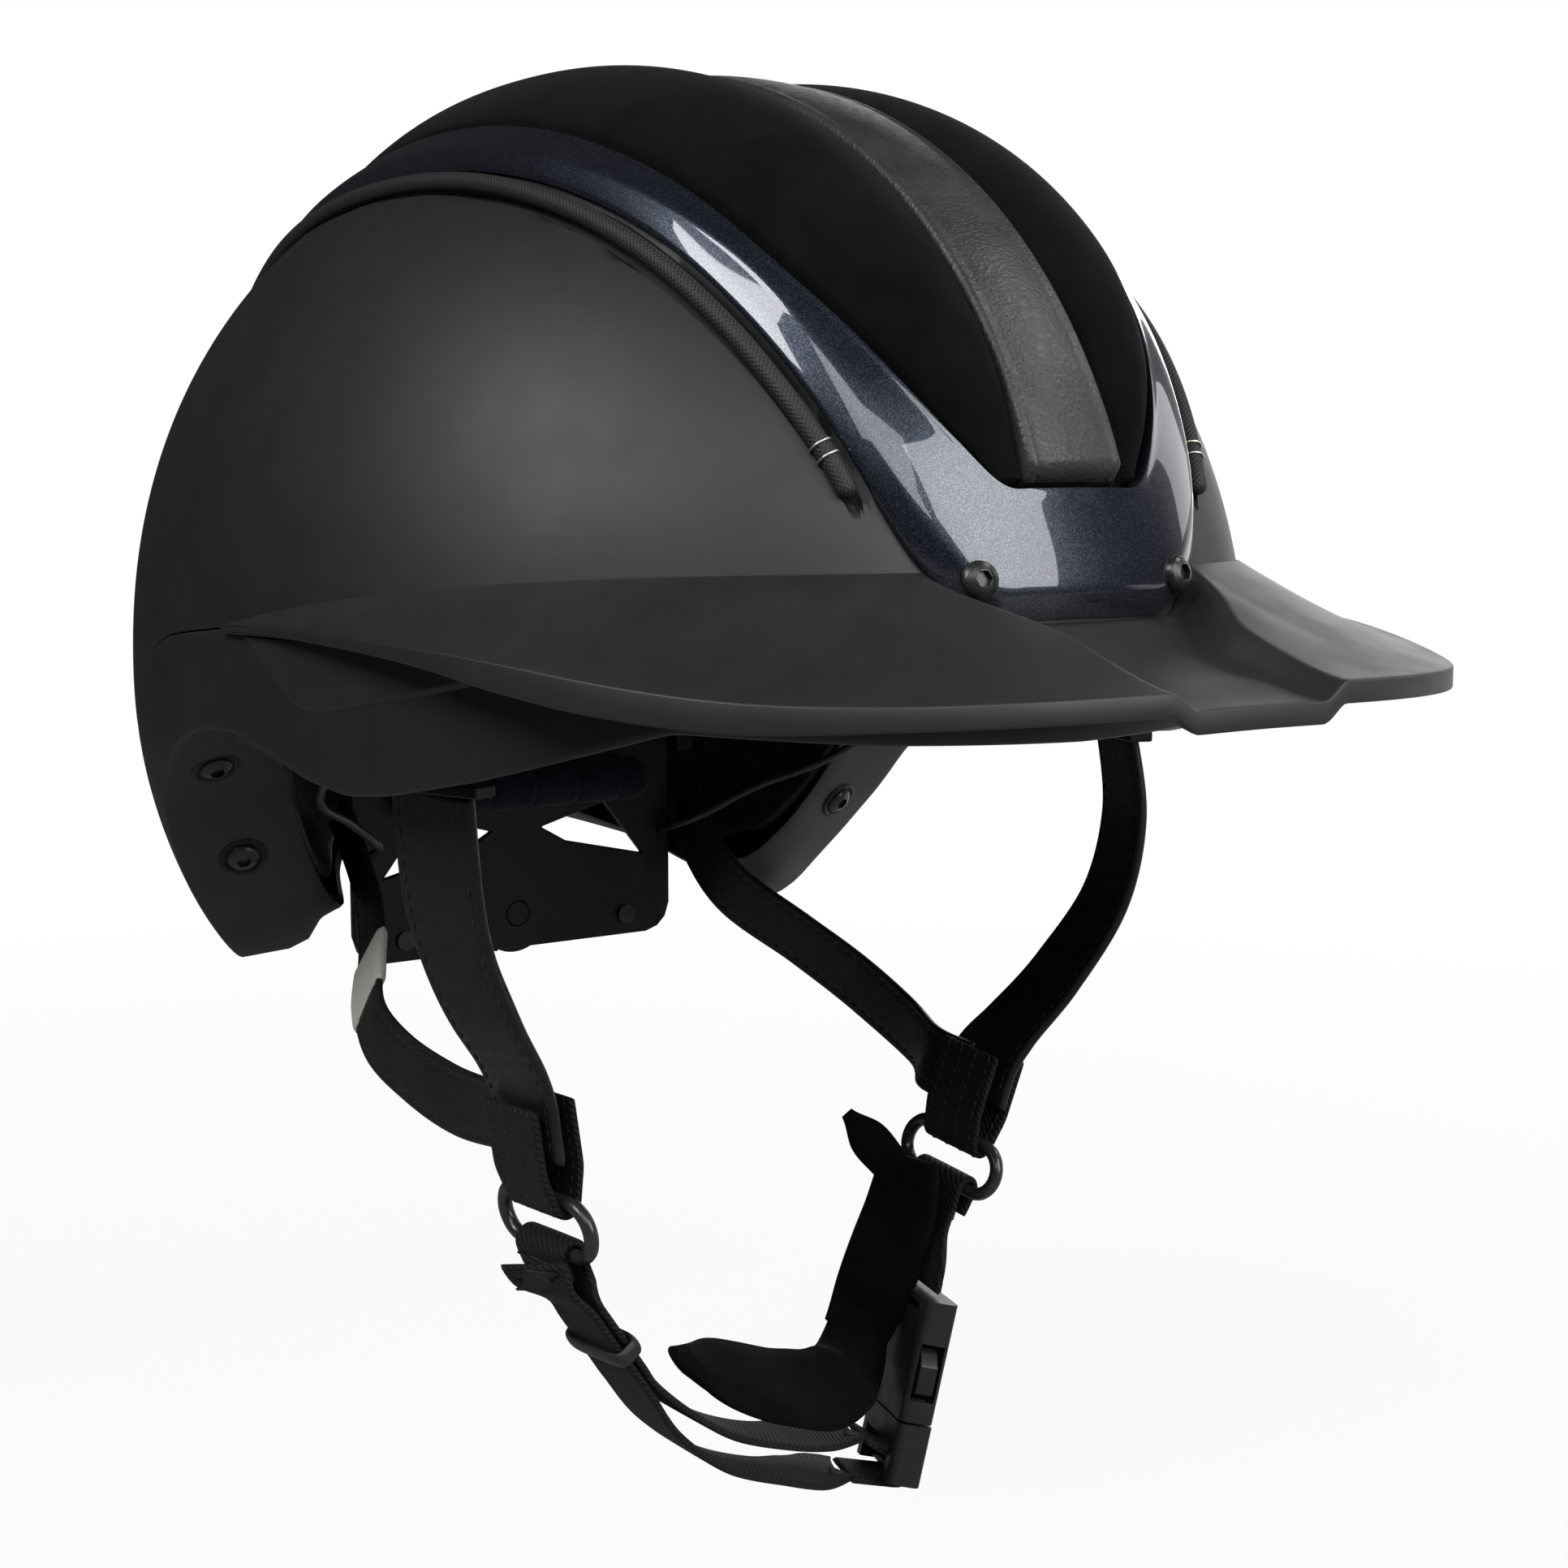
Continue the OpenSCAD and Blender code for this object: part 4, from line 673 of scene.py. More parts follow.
cord_arcs = np.linspace(19, 150, 420)
cord_x = eased_table(cord_arcs, CORD_EDGE, 4) + CORD_OFF


def loop_of(outline, n):
    """A half outline of distance and arc, smoothed and mirrored into a closed loop of 4n points."""
    h = through(outline, np.linspace(0, 16, 2 * n + 1))
    return np.concatenate([h, (h * [-1, 1])[-2:0:-1]])


edge_loop = loop_of(FRAME_EDGE, 150)
edge_dir = arc_direction(edge_loop[:, 0], edge_loop[:, 1], SHELL)
edge_turn = np.degrees(np.arctan2(edge_dir[:, 0], -edge_dir[:, 1]))
print(len(edge_loop), "points round the frame")

# %% Upper shell
WALL, GROOVE_DEPTH, GROOVE_HALF, SEAM_ROLL = 2.6, 2.0, 2.25, 0.9
NEAR_ROWS, GROOVE_ROWS = 34, 30  # closely spaced rows beside the frame, and how many of them the groove can reach
seam_dir = level_direction(edge_turn, seam_z(edge_turn), SHELL)
gap_mm = np.linalg.norm(on_dome(seam_dir, SHELL) - on_dome(edge_dir, SHELL), axis=1)
near = np.concatenate([np.linspace(0, 7.0, 26), 7.0 + np.cumsum(np.linspace(0.5, 2.0, 8))])
rows = [np.minimum(near[k] / gap_mm, 0.9 * (k + 1) / NEAR_ROWS) for k in range(NEAR_ROWS)]
rows += [mix(rows[-1], 1.0, f) for f in np.linspace(0, 1, 42)[1:]]
share = np.array(rows)
outer_dir = unit(mix(edge_dir[None], seam_dir[None], share[..., None]))
cord_line = at_arc(cord_x, cord_arcs, SHELL)
cord_line = np.concatenate([cord_line, cord_line * [-1, 1, 1]])
flat_net = on_dome(outer_dir, SHELL)
groove = np.zeros(share.shape)
# the groove runs out softly over the last 9 mm at both ends of the cord
run_out = smooth((edge_loop[:, 1] - 17) / 9) * smooth((153 - edge_loop[:, 1]) / 9)
for k in range(GROOVE_ROWS):
    away = np.linalg.norm(flat_net[k][:, None] - cord_line[None], axis=2).min(1)
    # on the frame's side the groove is wider, and reaches under its edge
    away = np.where(share[k] * gap_mm < CORD_OFF, away * 0.62, away)
    groove[k] = GROOVE_DEPTH * run_out * (1 - smooth((away - GROOVE_HALF) / 0.45))
edge_drop = 0.55 * smooth((share * gap_mm - gap_mm + SEAM_ROLL) / SEAM_ROLL) ** 2
outer = on_dome(outer_dir, grown(SHELL, -groove - edge_drop))
crown = [unit(mix(np.array([0, 0.02, 1.0]), edge_dir, f)) for f in (0.03, 0.5, 0.97)]
crown_rows = np.array([on_dome(c, grown(SHELL, -0.2)) for c in crown])
inner_dirs = [unit(mix(edge_dir, seam_dir, f)) for f in np.linspace(1, 0, 12)] + crown[::-1]
inner = np.array([on_dome(d, grown(SHELL, -WALL)) for d in inner_dirs])
points, faces = skin(np.concatenate([crown_rows, outer, inner]))
add_piece("upper_shell", points, faces, shell_matt, "helmet", replaces=["top_shell"], slot="shell", smooth_angle=40)
print("upper shell:", sum(len(f) for f in faces), "faces, groove", round(float(groove.max()), 2), "mm deep")

# %% [markdown]
# The lower shell is a band round the head with an arch over each ear and two lobes behind the ears. Each cross-section
# is a wall that turns inwards at its lower edge, and in the lobes that edge widens into a flat face that carries two
# screws. Sweeping that section round the head, once for every half degree, gives the whole band.

# %% Lower shell
EDGE_ROLL, EDGE_WIDE, LOBE_WIDE, LOBE_RISE = 0.9, 4.5, 27.0, 5.0


def lobe_corner(t):
    """How far each lobe's inner corner is rounded upwards: a bell of 7 mm centred on the lobe's tip."""
    return 7.0 * np.exp(-((turn_of(t) - 121.5) / 7.0) ** 2)


def rolled(t, low, axes, r, degrees, inwards=-1):
    """Rows round a dome's lower edge, which turns in by a quarter circle of radius r and ends at height low."""
    return [at_level(t, low + r * (1 - np.sin(a)), grown(axes, inwards * r * (1 - np.cos(a))))
            for a in np.radians(degrees)]


turns = np.concatenate([np.arange(0, 84, 1.0), np.arange(84, 128, 0.4), np.arange(128, 180, 1.0)])
turns = np.concatenate([turns, [180.0], 360 - turns[:0:-1]])
top, low, lobe = seam_z(turns) - 0.4, rim_z(turns), lobe_of(turns)
flange, rise = mix(EDGE_WIDE, LOBE_WIDE, lobe), LOBE_RISE * lobe
corner = lobe_corner(turns)
inner_low = low + rise + corner
outer_shares = [(0, 0.7), (0.004, 0.25), (0.015, 0.03), *((f, 0) for f in np.linspace(0.04, 0.9, 14)), (0.955, 0)]
rows = [at_level(turns, mix(top, low + EDGE_ROLL, f), grown(SHELL, -inset)) for f, inset in outer_shares]
rows += rolled(turns, low, SHELL, EDGE_ROLL, (15, 38, 60, 80))
for f in (0.05, 0.2, 0.4, 0.6, 0.8, 0.96):
    face_low = low + rise * f + corner * smooth((f - 0.45) / 0.55)
    rows.append(at_level(turns, face_low, grown(SHELL, -mix(EDGE_ROLL, flange, f))))
rows += [at_level(turns, inner_low + lift, grown(SHELL, -flange)) for lift in (0.5, 2.4)]
rows += [at_level(turns, mix(low + 2.5, top, f), grown(SHELL, -WALL)) for f in (0, 0.33, 0.66, 1)]
lower = add_loft("lower_band", rings_of(rows), shell_matt, "helmet", closed=True, replaces=["lower_shell"],
                 slot="shell", smooth_angle=42)
print("lower shell:", len(lower.data.polygons), "faces")

# %% [markdown]
# Each lobe screw sits in a low raised seat, a ring turned from one small profile: it stands square on the lobe's flat
# face, midway between that face's two edges.

# %% Seats of the lobe screws
def face_point(t, f):
    """The lobe's flat face at turn t, at share f from its outer edge to its inner one."""
    low, lobe = rim_z(t), lobe_of(t)
    inner_edge = at_level(t, low + LOBE_RISE * lobe, grown(SHELL, -mix(EDGE_WIDE, LOBE_WIDE, lobe)))
    return mix(at_level(t, low, SHELL), inner_edge, f)


SEAT = [[3.75, -0.5], [3.85, 0.1], [4.1, 0.42], [4.6, 0.5], [5.1, 0.36], [5.4, 0.0], [5.5, -0.5]]
for side, name in SIDES:
    for turn, which in ((101.5, "upper"), (109.8, "lower")):
        t = np.array(turn)
        run = unit(face_point(t + 1, 0.5) - face_point(t - 1, 0.5))
        out = -unit(np.cross(run, face_point(t, 0.8) - face_point(t, 0.2)))
        x = unit(np.cross([0, 0, 1.0], out))
        c, s = circle(48)
        r, h = np.array(SEAT)[None, :, :1], np.array(SEAT)[None, :, 1:]
        ring = face_point(t, 0.5) + r * (c * x + s * np.cross(out, x))[:, None] + h * out
        add_loft(f"screw_seat_{which}_{name}", ring * [side, 1, 1], moulded_black, "helmet", closed=True,
                 slot="black_plastic", smooth_angle=50)
print("four raised seats round the lobe screws")

# %% [markdown]
# The visor is one sheet between its root on the shell and its front lip, with two ridges that run out from the
# frame's corners and a shallow valley between them. A net in turn and share from root to lip follows the same formula
# as the solid, ten times finer, and its front edge is a broad bevelled band rounded at both corners.

# %% Visor
LIP_DIP = [[0, 1.2], [30, 0], [40, 0], [46, 0.4], [52, 1.3], [59, 2.7], [65, 4.1], [72, 5.4], [82, 6.3], [90, 6.3],
           [100, 5.5]]
LIP_BAND = [[0, 3.9], [30, 4.1], [45, 5.2], [60, 5.5], [68, 4.8], [76, 3], [90, 1.6], [100, 1.2]]
LIP_HALF, LIP_POWER, TAIL_X, TAIL_Y = 106.0, 2.6, 106.4, -12.6
ROOT_HIGH, ROOT_FALL, ROOT_TURN, FALL_POWER = 42, 13, 0.855, 1.35


def lip_point(t):
    """The lip's top edge: a superellipse in plan, which past 90 degrees runs back to the tail."""
    s = np.abs(t)
    q, tail = np.radians(np.minimum(s, 90)), np.clip((s - 90) / 10, 0, 1)
    x = LIP_HALF * np.sin(q) ** (2 / LIP_POWER)
    y = -40 - 144 * np.maximum(np.cos(q), 0) ** (2 / LIP_POWER)
    return np.stack([np.sign(t) * mix(x, TAIL_X, tail), mix(y, TAIL_Y, tail), 24 + eased_table(s, LIP_DIP, 2.5)], -1)


def trough(x, s):
    """The valley's depth: full between the ridges, rising to nothing over 6 to 10 mm at each ridge."""
    ridge = mix(31.4, 20.0, smooth(s / 0.5))
    return mix(9.0, 3.2, smooth(s * 1.2)) * smooth((ridge - np.abs(x)) / mix(10, 6, s))


def visor_point(t, s, depth):
    """A point of the sheet at share s from root to lip: plan is a straight mix of both, height falls with a power of
    what is left, less the trough and the depth."""
    t, s, depth = np.broadcast_arrays(np.asarray(t, float), s, depth)
    rt = t * ROOT_TURN
    high = ROOT_HIGH - ROOT_FALL * (np.abs(rt) / 87) ** 3.5
    root_axes = grown(SHELL, 0.5)
    x0 = at_level(rt, high, root_axes)[..., 0]
    root, lip = at_level(rt, high - trough(x0, 0.0) - depth, root_axes), lip_point(t)
    xy = mix(root[..., :2], lip[..., :2], s[..., None])
    z = lip[..., 2] + (high - lip[..., 2]) * (1 - s) ** FALL_POWER - trough(xy[..., 0], s) - depth
    return np.concatenate([xy, z[..., None]], axis=-1)


def lip_corner(edge, up, degrees):
    """Rows round a corner of the lip, from its edge inwards; up is -1 for the top corner and 1 for the lower one."""
    sink = np.array([0, 0, up])
    return [edge - out * (r * (1 - np.sin(a)))[:, None] + sink * (r * (1 - np.cos(a)))[:, None]
            for a in np.radians(degrees)]


t = np.concatenate([np.linspace(-100, -34, 110, endpoint=False), np.linspace(-34, 34, 200),
                    np.linspace(34, 100, 110)[1:]])
band = eased_table(np.abs(t), LIP_BAND, 2)
r = np.minimum(0.55, band * 0.3)
rows = [visor_point(t, s, 0) for s in np.linspace(0, 0.985, 44)]
lip = visor_point(t, 1.0, 0)
out = unit(lip - visor_point(t, 0.9, 0)) * [1, 1, 0]
rows += lip_corner(lip, -1, (5, 30, 55, 80)) + lip_corner(visor_point(t, 1.0, band), 1, (80, 50, 20))
rows += [visor_point(t, s, mix(np.minimum(3.0, band + 0.4), band, smooth((s - 0.85) / 0.1)))
         for s in np.linspace(0.985, 0, 16)]
visor = add_loft("visor_sheet", rings_of(rows), rib_matt, "helmet", replaces=["visor"], slot="shell", smooth_angle=45)
print("visor:", len(visor.data.polygons), "faces")

# %% [markdown]
# Under each end of the visor the lower shell has a raised facet, like a fin, which makes the visor look as if it grew
# out of the shell. It is a thin patch of the dome itself, a little prouder than the shell, with rolled edges: its net
# runs in turn, and from its lower outline up under the visor.

# %% Side facets
FACET_PROUD, FACET_SUNK, FACET_END = 0.8, 0.45, 83.5
FACET_LOW = [[48, 25.0], [52, 23.4], [59, 20.1], [66, 17.1], [72.6, 14.4], [75, 14.8], [76.7, 16.6], [80.3, 23.6],
             [FACET_END, 28.0]]
t = np.linspace(48, FACET_END, 150)
low = eased_table(t, FACET_LOW, 0.8)
high = np.maximum(27.8, low + 0.3)
for side, name in SIDES:
    rows = []
    for f in np.linspace(0, 1, 24):
        edge = np.minimum(mix(low, high, f) - low, 0.9 * (FACET_END - t))
        proud = (FACET_PROUD + FACET_SUNK) * np.sqrt(smooth(edge / 1.6)) - FACET_SUNK
        rows.append(at_level(side * t, mix(low, high, f), grown(SHELL, proud)))
    rows += [at_level(side * t, mix(low, high, f), grown(SHELL, -0.9)) for f in (1, 0.5, 0)]
    add_loft("side_facet_" + name, rings_of(rows), rib_matt, "helmet", slot="shell", smooth_angle=45)
print("two side facets, proud by", FACET_PROUD, "mm")

# %% [markdown]
# The glossy frame is a flat rib bent over the dome: a narrow loop at the sides and rear, and a wide plate in front.
# Its section has a bevel along the outer edge, a slightly crowned top, and a rounded inner lip beside the suede. The
# section is drawn once, as offset and height, and stretched between the frame's inner and outer outlines.

# %% Centre frame
u = np.linspace(0, 16, 400)
inner_line, outer_line = through(FRAME_INNER, u), through(FRAME_EDGE, u)
inner_line[[0, -1], 0] = outer_line[[0, -1], 0] = 0
span = np.linalg.norm(at_arc(*inner_line.T, SHELL) - at_arc(*outer_line.T, SHELL), axis=1)
bevel = np.clip(mix(1.4, 4.0, smooth((70 - outer_line[:, 1]) / 34)), 1.2, 4.0) / span
FOOT, TOP = 0.5, 3.4  # heights above the shell
# from the outer foot over the bevel and the top to the inner foot: share across, height
section = [(0, FOOT), (0, 1.1), (0.07 * bevel, 1.45), (0.5 * bevel, 2.2), (0.93 * bevel, 3.05), (bevel + 0.02, 3.25)]
section += [(mix(bevel + 0.03, 1 - 1.3 / span, f), TOP + 0.28 * np.sin(np.pi * f) + 0.35 * f ** 4)
            for f in np.linspace(0.05, 1, 12)]
section += [(1 - 0.85 / span, 3.88), (1 - 0.35 / span, 3.85), (1 - 0.08 / span, 3.5), (1, 3.1), (1, FOOT), (0.5, FOOT)]
half = rings_of([at_arc(mix(outer_line[:, 0], inner_line[:, 0], f), mix(outer_line[:, 1], inner_line[:, 1], f),
                        grown(SHELL, h)) for f, h in section])
rings = np.concatenate([half, (half * [-1, 1, 1])[-2:0:-1]])
frame_piece = add_loft("gloss_frame", rings, flake_navy, "helmet", closed=True, replaces=["centre_frame"],
                       slot="frame", smooth_angle=35)
print("frame:", len(frame_piece.data.polygons), "faces; narrowest rib", round(float(span.min()), 1), "mm")

# %% [markdown]
# Two suede panels fill the frame. On the real helmet the suede is glued over a crowned insert, so each panel is a
# pillow between the frame and the strip: its height rises fast from both edges and is fullest two thirds of the way
# up. The nap and its clouds are in the finish.

# %% Suede panels
OPENING = [[p, x] for x, p in FRAME_INNER[2:15]]
STRIP_HALF, PANEL_FRONT, PANEL_REAR, PANEL_EDGE, PANEL_FULL = 10.5, 19.0, 154.5, 2.1, 6.4
p = np.linspace(PANEL_FRONT, PANEL_REAR, 170)
x0 = STRIP_HALF + 0.4
x1 = np.maximum(eased_table(p, OPENING, 2.5) - 1.1, x0 + 1.5)
full = 0.25 + 0.75 * smooth((p - PANEL_FRONT) / 12) * smooth((PANEL_REAR - p) / 14)
for side, name in SIDES:
    rows = [at_arc(side * mix(x0, x1, f), p, grown(SHELL, 0.5)) for f in (0.02, 0.35, 0.65, 0.98)]
    for f in np.linspace(1, 0, 40):
        bulge = full * np.sin(np.pi * mix(0.07, 0.96, f)) ** 0.62
        rows.append(at_arc(side * mix(x0, x1, f), p, grown(SHELL, PANEL_EDGE + PANEL_FULL * bulge)))
    add_loft("suede_" + name, rings_of(rows), suede_black, "helmet", replaces=["suede_panel_" + name], slot="suede",
             smooth_angle=60)
print("two suede panels, fullest", round(PANEL_EDGE + PANEL_FULL, 1), "mm above the shell")

# %% [markdown]
# A leather strip covers the middle seam. Its long edges are turned under, which shows as a rolled bead on each side
# with a shallow dip beside it, so the section is a flat arch that ends in two small round shoulders.

# %% Centre strip
p = np.linspace(18.7, 155, 260)
shoulder = [(0.995, 4.6), (0.96, 5.45), (0.9, 5.75), (0.84, 5.62), (0.78, 5.5)]
section = [(-1, 0.5), (0, 0.5), (1, 0.5), (1, 3.2), *shoulder]
section += [(x, 5.5 + 0.5 * (1 - (x / 0.78) ** 2)) for x in np.linspace(0.7, -0.7, 15)]
section += [(-x, h) for x, h in shoulder[::-1]] + [(-1, 3.2)]
front_drop = 1 - 0.55 * smooth((19.8 - p) / 1.1)
rows = [at_arc(STRIP_HALF * x, p, grown(SHELL, 0.5 + (h - 0.5) * front_drop)) for x, h in section]
strip = add_loft("leather_strip", rings_of(rows), strip_leather, "helmet", replaces=["centre_strip"],
                 slot="strip_leather", smooth_angle=60)
print("strip:", len(strip.data.polygons), "faces")

# %% [markdown]
# The braided cords lie in the shell's grooves. A cord is a circle carried along a curve. Its braid is carved by the
# finish: two sets of ribs that cross on the cord's own UV map. Two turns of silver thread bind it near its front end.

# %% Trim cords and their thread
CORD_R, CORD_LIFT = 1.85, 0.75
THREAD_R, BOUND_R = 0.26, 2.0  # the thread itself, and its turns round the cord


def rings_round(centres, first, second, sides):
    """An ellipse of points round each centre, whose half axes are first and second."""
    c, s = circle(sides)
    first, second = (np.broadcast_to(v, centres.shape)[:, None] for v in (first, second))
    return centres[:, None] + c * first + s * second


def tube(centres, radius, sides, up=(0, 0, 1.0)):
    """Circles of a radius, or of one radius for each centre, that stand square to a path."""
    ahead = unit(np.gradient(centres, axis=0))
    side = unit(np.cross(ahead, up))
    r = np.broadcast_to(radius, (len(centres),))[:, None]
    return rings_round(centres, r * side, r * np.cross(side, ahead), sides)


def round_end(to_end, radius, least):
    """The share of its radius that a rod keeps near an end closed by a quarter circle."""
    return np.sqrt(np.clip(1 - (1 - np.minimum(to_end / radius, 1)) ** 2, least, 1))


POINT_GAP = 0.66  # between neighbouring points of the cord's line
steps = np.arange(len(cord_arcs))
to_end = np.minimum(steps, steps[::-1]) * POINT_GAP
cords = {}
for side, name in SIDES:
    line = at_arc(cord_x, cord_arcs, grown(SHELL, CORD_LIFT)) * [side, 1, 1]
    outward = unit(line - at_arc(cord_x, cord_arcs, grown(SHELL, -8)) * [side, 1, 1])
    rings = tube(line, CORD_R * round_end(to_end, CORD_R, 0.02), 16, outward)
    cords[name] = add_loft("cord_" + name, rings, braid_black, "helmet", replaces=["trim_cord_" + name], slot="cord",
                           smooth_angle=0)
place = 1000 * np.array(placed_on("near_cord_bands", cords["right"]))
band_arc = cord_arcs[np.linalg.norm(line * [-1, 1, 1] - place, axis=1).argmin()]
for side, name in SIDES:
    for j, arc in enumerate((band_arc - 0.6, band_arc + 0.6)):
        around_arc = arc + np.array([-0.3, 0.3])
        x = np.interp(around_arc, cord_arcs, cord_x)
        ends = at_arc(x, around_arc, grown(SHELL, CORD_LIFT)) * [side, 1, 1]
        centre, ahead = ends.mean(0), unit(ends[1] - ends[0])
        first = unit(np.cross(ahead, [0, 0, 1.0]))
        c, s = circle(40)
        outward = c * first + s * np.cross(ahead, first)
        rings = rings_round(centre + BOUND_R * outward, THREAD_R * outward, THREAD_R * ahead, 8)
        replaces = ["cord_bands"] if side < 0 and j == 0 else ()
        add_loft(f"thread_{name}_{j + 1}", rings, silver_thread, "helmet", closed=True, slot="band_metal",
                 replaces=replaces)
print("silver thread at arc", round(float(band_arc), 1), "degrees")
print("two cords, each", round(float(run_of(line)[-1])), "mm long")

# %% [markdown]
# The foam liner is a thick bowl of moulded beads. It is built as two domes, outer and inner, joined by a rounded rim.
# The visible inner wall gets the fine net, and the hidden outer wall a coarse one.

# %% Foam liner
FOAM_OFF, FOAM_ROLL, INNER_ROLL = 3.1, 1.5, 2.5  # gap to the shell's outside, and the rim's two edge radii
FOAM = SHELL - FOAM_OFF


def dome_rows(t, low, axes, shares):
    """Rows of a dome at shares of the way from height low up to its top."""
    return [on_dome(unit(mix(level_direction(t, low, axes), np.array([0, 0, 1.0]), f)), axes) for f in shares]


turns = np.linspace(0, 360, 240, endpoint=False)
foam_low = rim_z(turns) + FOAM_OFF + 4.0 * lobe_of(turns) + lobe_corner(turns)
inner_low = foam_low + LOBE_RISE * lobe_of(turns)
rows = dome_rows(turns, foam_low + FOAM_ROLL, FOAM, np.linspace(0.97, 0, 14))
rows += rolled(turns, foam_low, FOAM, FOAM_ROLL, (20, 55, 90))
rows += [mix(at_level(turns, foam_low, FOAM - FOAM_ROLL), at_level(turns, inner_low, CAVITY + INNER_ROLL), f)
         for f in (0.25, 0.5, 0.75)]
rows += rolled(turns, inner_low, CAVITY, INNER_ROLL, (90, 60, 30, 5), inwards=1)
rows += dome_rows(turns, inner_low + INNER_ROLL, CAVITY, np.linspace(0.02, 0.985, 46))
liner = add_loft("bead_liner", np.array(rows), bead_foam, "helmet", replaces=["eps_liner"], slot="foam",
                 smooth_angle=60)
print("liner:", len(liner.data.polygons), "faces")

# %% [markdown]
# The pads inside are thin foam wrapped in cloth. Such a pad is easiest to believe when it is really inflated: its
# solid is remeshed into even small squares, held along its back, and blown up by a little pressure in a cloth
# simulation. How far a point may move is capped, so the pad stays in the space the model gave it.

# %% Inflated pads
PAD_CAP, PAD_FRAMES, PRESSURE = 0.0016, 20, 4.0


def merged_copy(node):
    """A copy of a model solid's mesh with its loose triangles joined."""
    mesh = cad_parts[node].data.copy()
    work = bmesh.new()
    work.from_mesh(mesh)
    bmesh.ops.remove_doubles(work, verts=work.verts, dist=1e-6)
    bmesh.ops.recalc_face_normals(work, faces=work.faces)
    work.to_mesh(mesh)
    work.free()
    mesh.materials.clear()
    return mesh


def coordinates(mesh):
    """All points of a mesh as one array."""
    out = np.empty(len(mesh.vertices) * 3)
    mesh.vertices.foreach_get("co", out)
    return out.reshape(-1, 3)


def inflated_pad(node, voxel):
    """Cloth pressure blows the remeshed solid up: its back is held, and no point moves further than the cap."""
    pad = linked(node.replace("_pad", "_cushion"), merged_copy(node))
    remesh = pad.modifiers.new("even_squares", "REMESH")
    remesh.mode, remesh.voxel_size = "VOXEL", voxel
    pad.data = bpy.data.meshes.new_from_object(pad.evaluated_get(bpy.context.evaluated_depsgraph_get()))
    pad.modifiers.clear()
    rest = coordinates(pad.data)
    group = pad.vertex_groups.new(name="held")
    group.add([int(i) for i in np.nonzero(near_cavity(rest * 1000))[0]], 1.0, "REPLACE")
    cloth = pad.modifiers.new("cloth", "CLOTH")
    cloth.settings.use_pressure, cloth.settings.uniform_pressure_force = True, PRESSURE
    cloth.settings.effector_weights.gravity = 0
    cloth.settings.vertex_group_mass = "held"
    cloth.settings.quality = 5
    cloth.point_cache.frame_start, cloth.point_cache.frame_end = 1, PAD_FRAMES
    for step in range(1, PAD_FRAMES + 1):
        bpy.context.scene.frame_set(step)
    blown = coordinates(pad.evaluated_get(bpy.context.evaluated_depsgraph_get()).to_mesh())
    pad.modifiers.clear()
    bpy.context.scene.frame_set(1)
    move = blown - rest
    size = np.linalg.norm(move, axis=1, keepdims=True)
    rest = rest + move * np.minimum(1, PAD_CAP / np.maximum(size, 1e-9))
    pad.data.vertices.foreach_set("co", rest.ravel())
    pad.data.materials.append(lining_navy)
    pad.data.shade_smooth()
    soft = pad.modifiers.new("soft", "SUBSURF")
    soft.levels = soft.render_levels = 1
    hand_over(pad, [node], "helmet")
    return pad


def near_cavity(points):
    """True where a point, in millimetres, lies within 2.6 mm of the cavity's wall: outside a dome that much smaller."""
    reach = (np.abs((points - [0, 0, SHELL_LEVEL]) / (CAVITY - 2.6)) ** (2 * HALF_POWER)).sum(1)
    return reach > 1.0


for node, voxel in (("brow_pad", 0.0032), ("temple_pad_right", 0.003), ("temple_pad_left", 0.003),
                    ("crown_pad", 0.0036)):
    pad = inflated_pad(node, voxel)
    print(pad.name, len(pad.data.vertices), "points")

# %% [markdown]
# The small bar pad on the rear cradle is a foam roll in a cloth tube with stitched bands: a circle carried along x,
# whose radius dips at each band and closes in a quarter circle at both ends.

# %% Cradle roll
CRADLE_Y, CRADLE_TOP, ROLL_R, REACH = 66.4, -3.5, 5.5, 34.0
ROLL_Y, ROLL_Z = CRADLE_Y - ROLL_R - 0.2, CRADLE_TOP - 14  # against the cradle's inner face, below its top edge
x = np.linspace(-REACH, REACH, 160)
seams = np.arange(-24, 25, 12)
radius = ROLL_R * round_end(REACH - np.abs(x), ROLL_R, 0.004)
radius = radius * (1 - 0.10 * sum(np.exp(-((x - b) / 0.7) ** 2) for b in seams))
line = np.stack([x, np.full(160, ROLL_Y), np.full(160, ROLL_Z)], 1)
roll = add_loft("cradle_roll", tube(line, radius, 28), lining_navy, "cradle", replaces=["cradle_pad"], slot="lining",
                smooth_angle=0)
print("cradle roll with", len(seams), "stitched bands")

# %% [markdown]
# Moulded plastic never has knife edges. The cradle, dial, anchors, guides and buckle keep the model's exact shape, but
# each is a merged copy with its edges rounded by a Bevel modifier, so light runs along them as on the real mouldings.

# %% Eased mouldings
def eased_moulding(name, node, finish, body, width):
    """A merged copy of a model solid whose edges sharper than 35 degrees are rounded by width, in millimetres."""
    mesh = merged_copy(node)
    work = bmesh.new()
    work.from_mesh(mesh)
    bmesh.ops.dissolve_limit(work, angle_limit=math.radians(1), verts=work.verts, edges=work.edges)
    work.to_mesh(mesh)
    work.free()
    mesh.shade_smooth()
    mesh.set_sharp_from_angle(angle=math.radians(38))
    mesh.materials.append(finish)
    piece = linked(name, mesh)
    bevel = piece.modifiers.new("eased_edges", "BEVEL")
    bevel.width, bevel.segments, bevel.limit_method, bevel.angle_limit = width / 1000, 3, "ANGLE", math.radians(35)
    bevel.harden_normals = True
    hand_over(piece, [node], body)


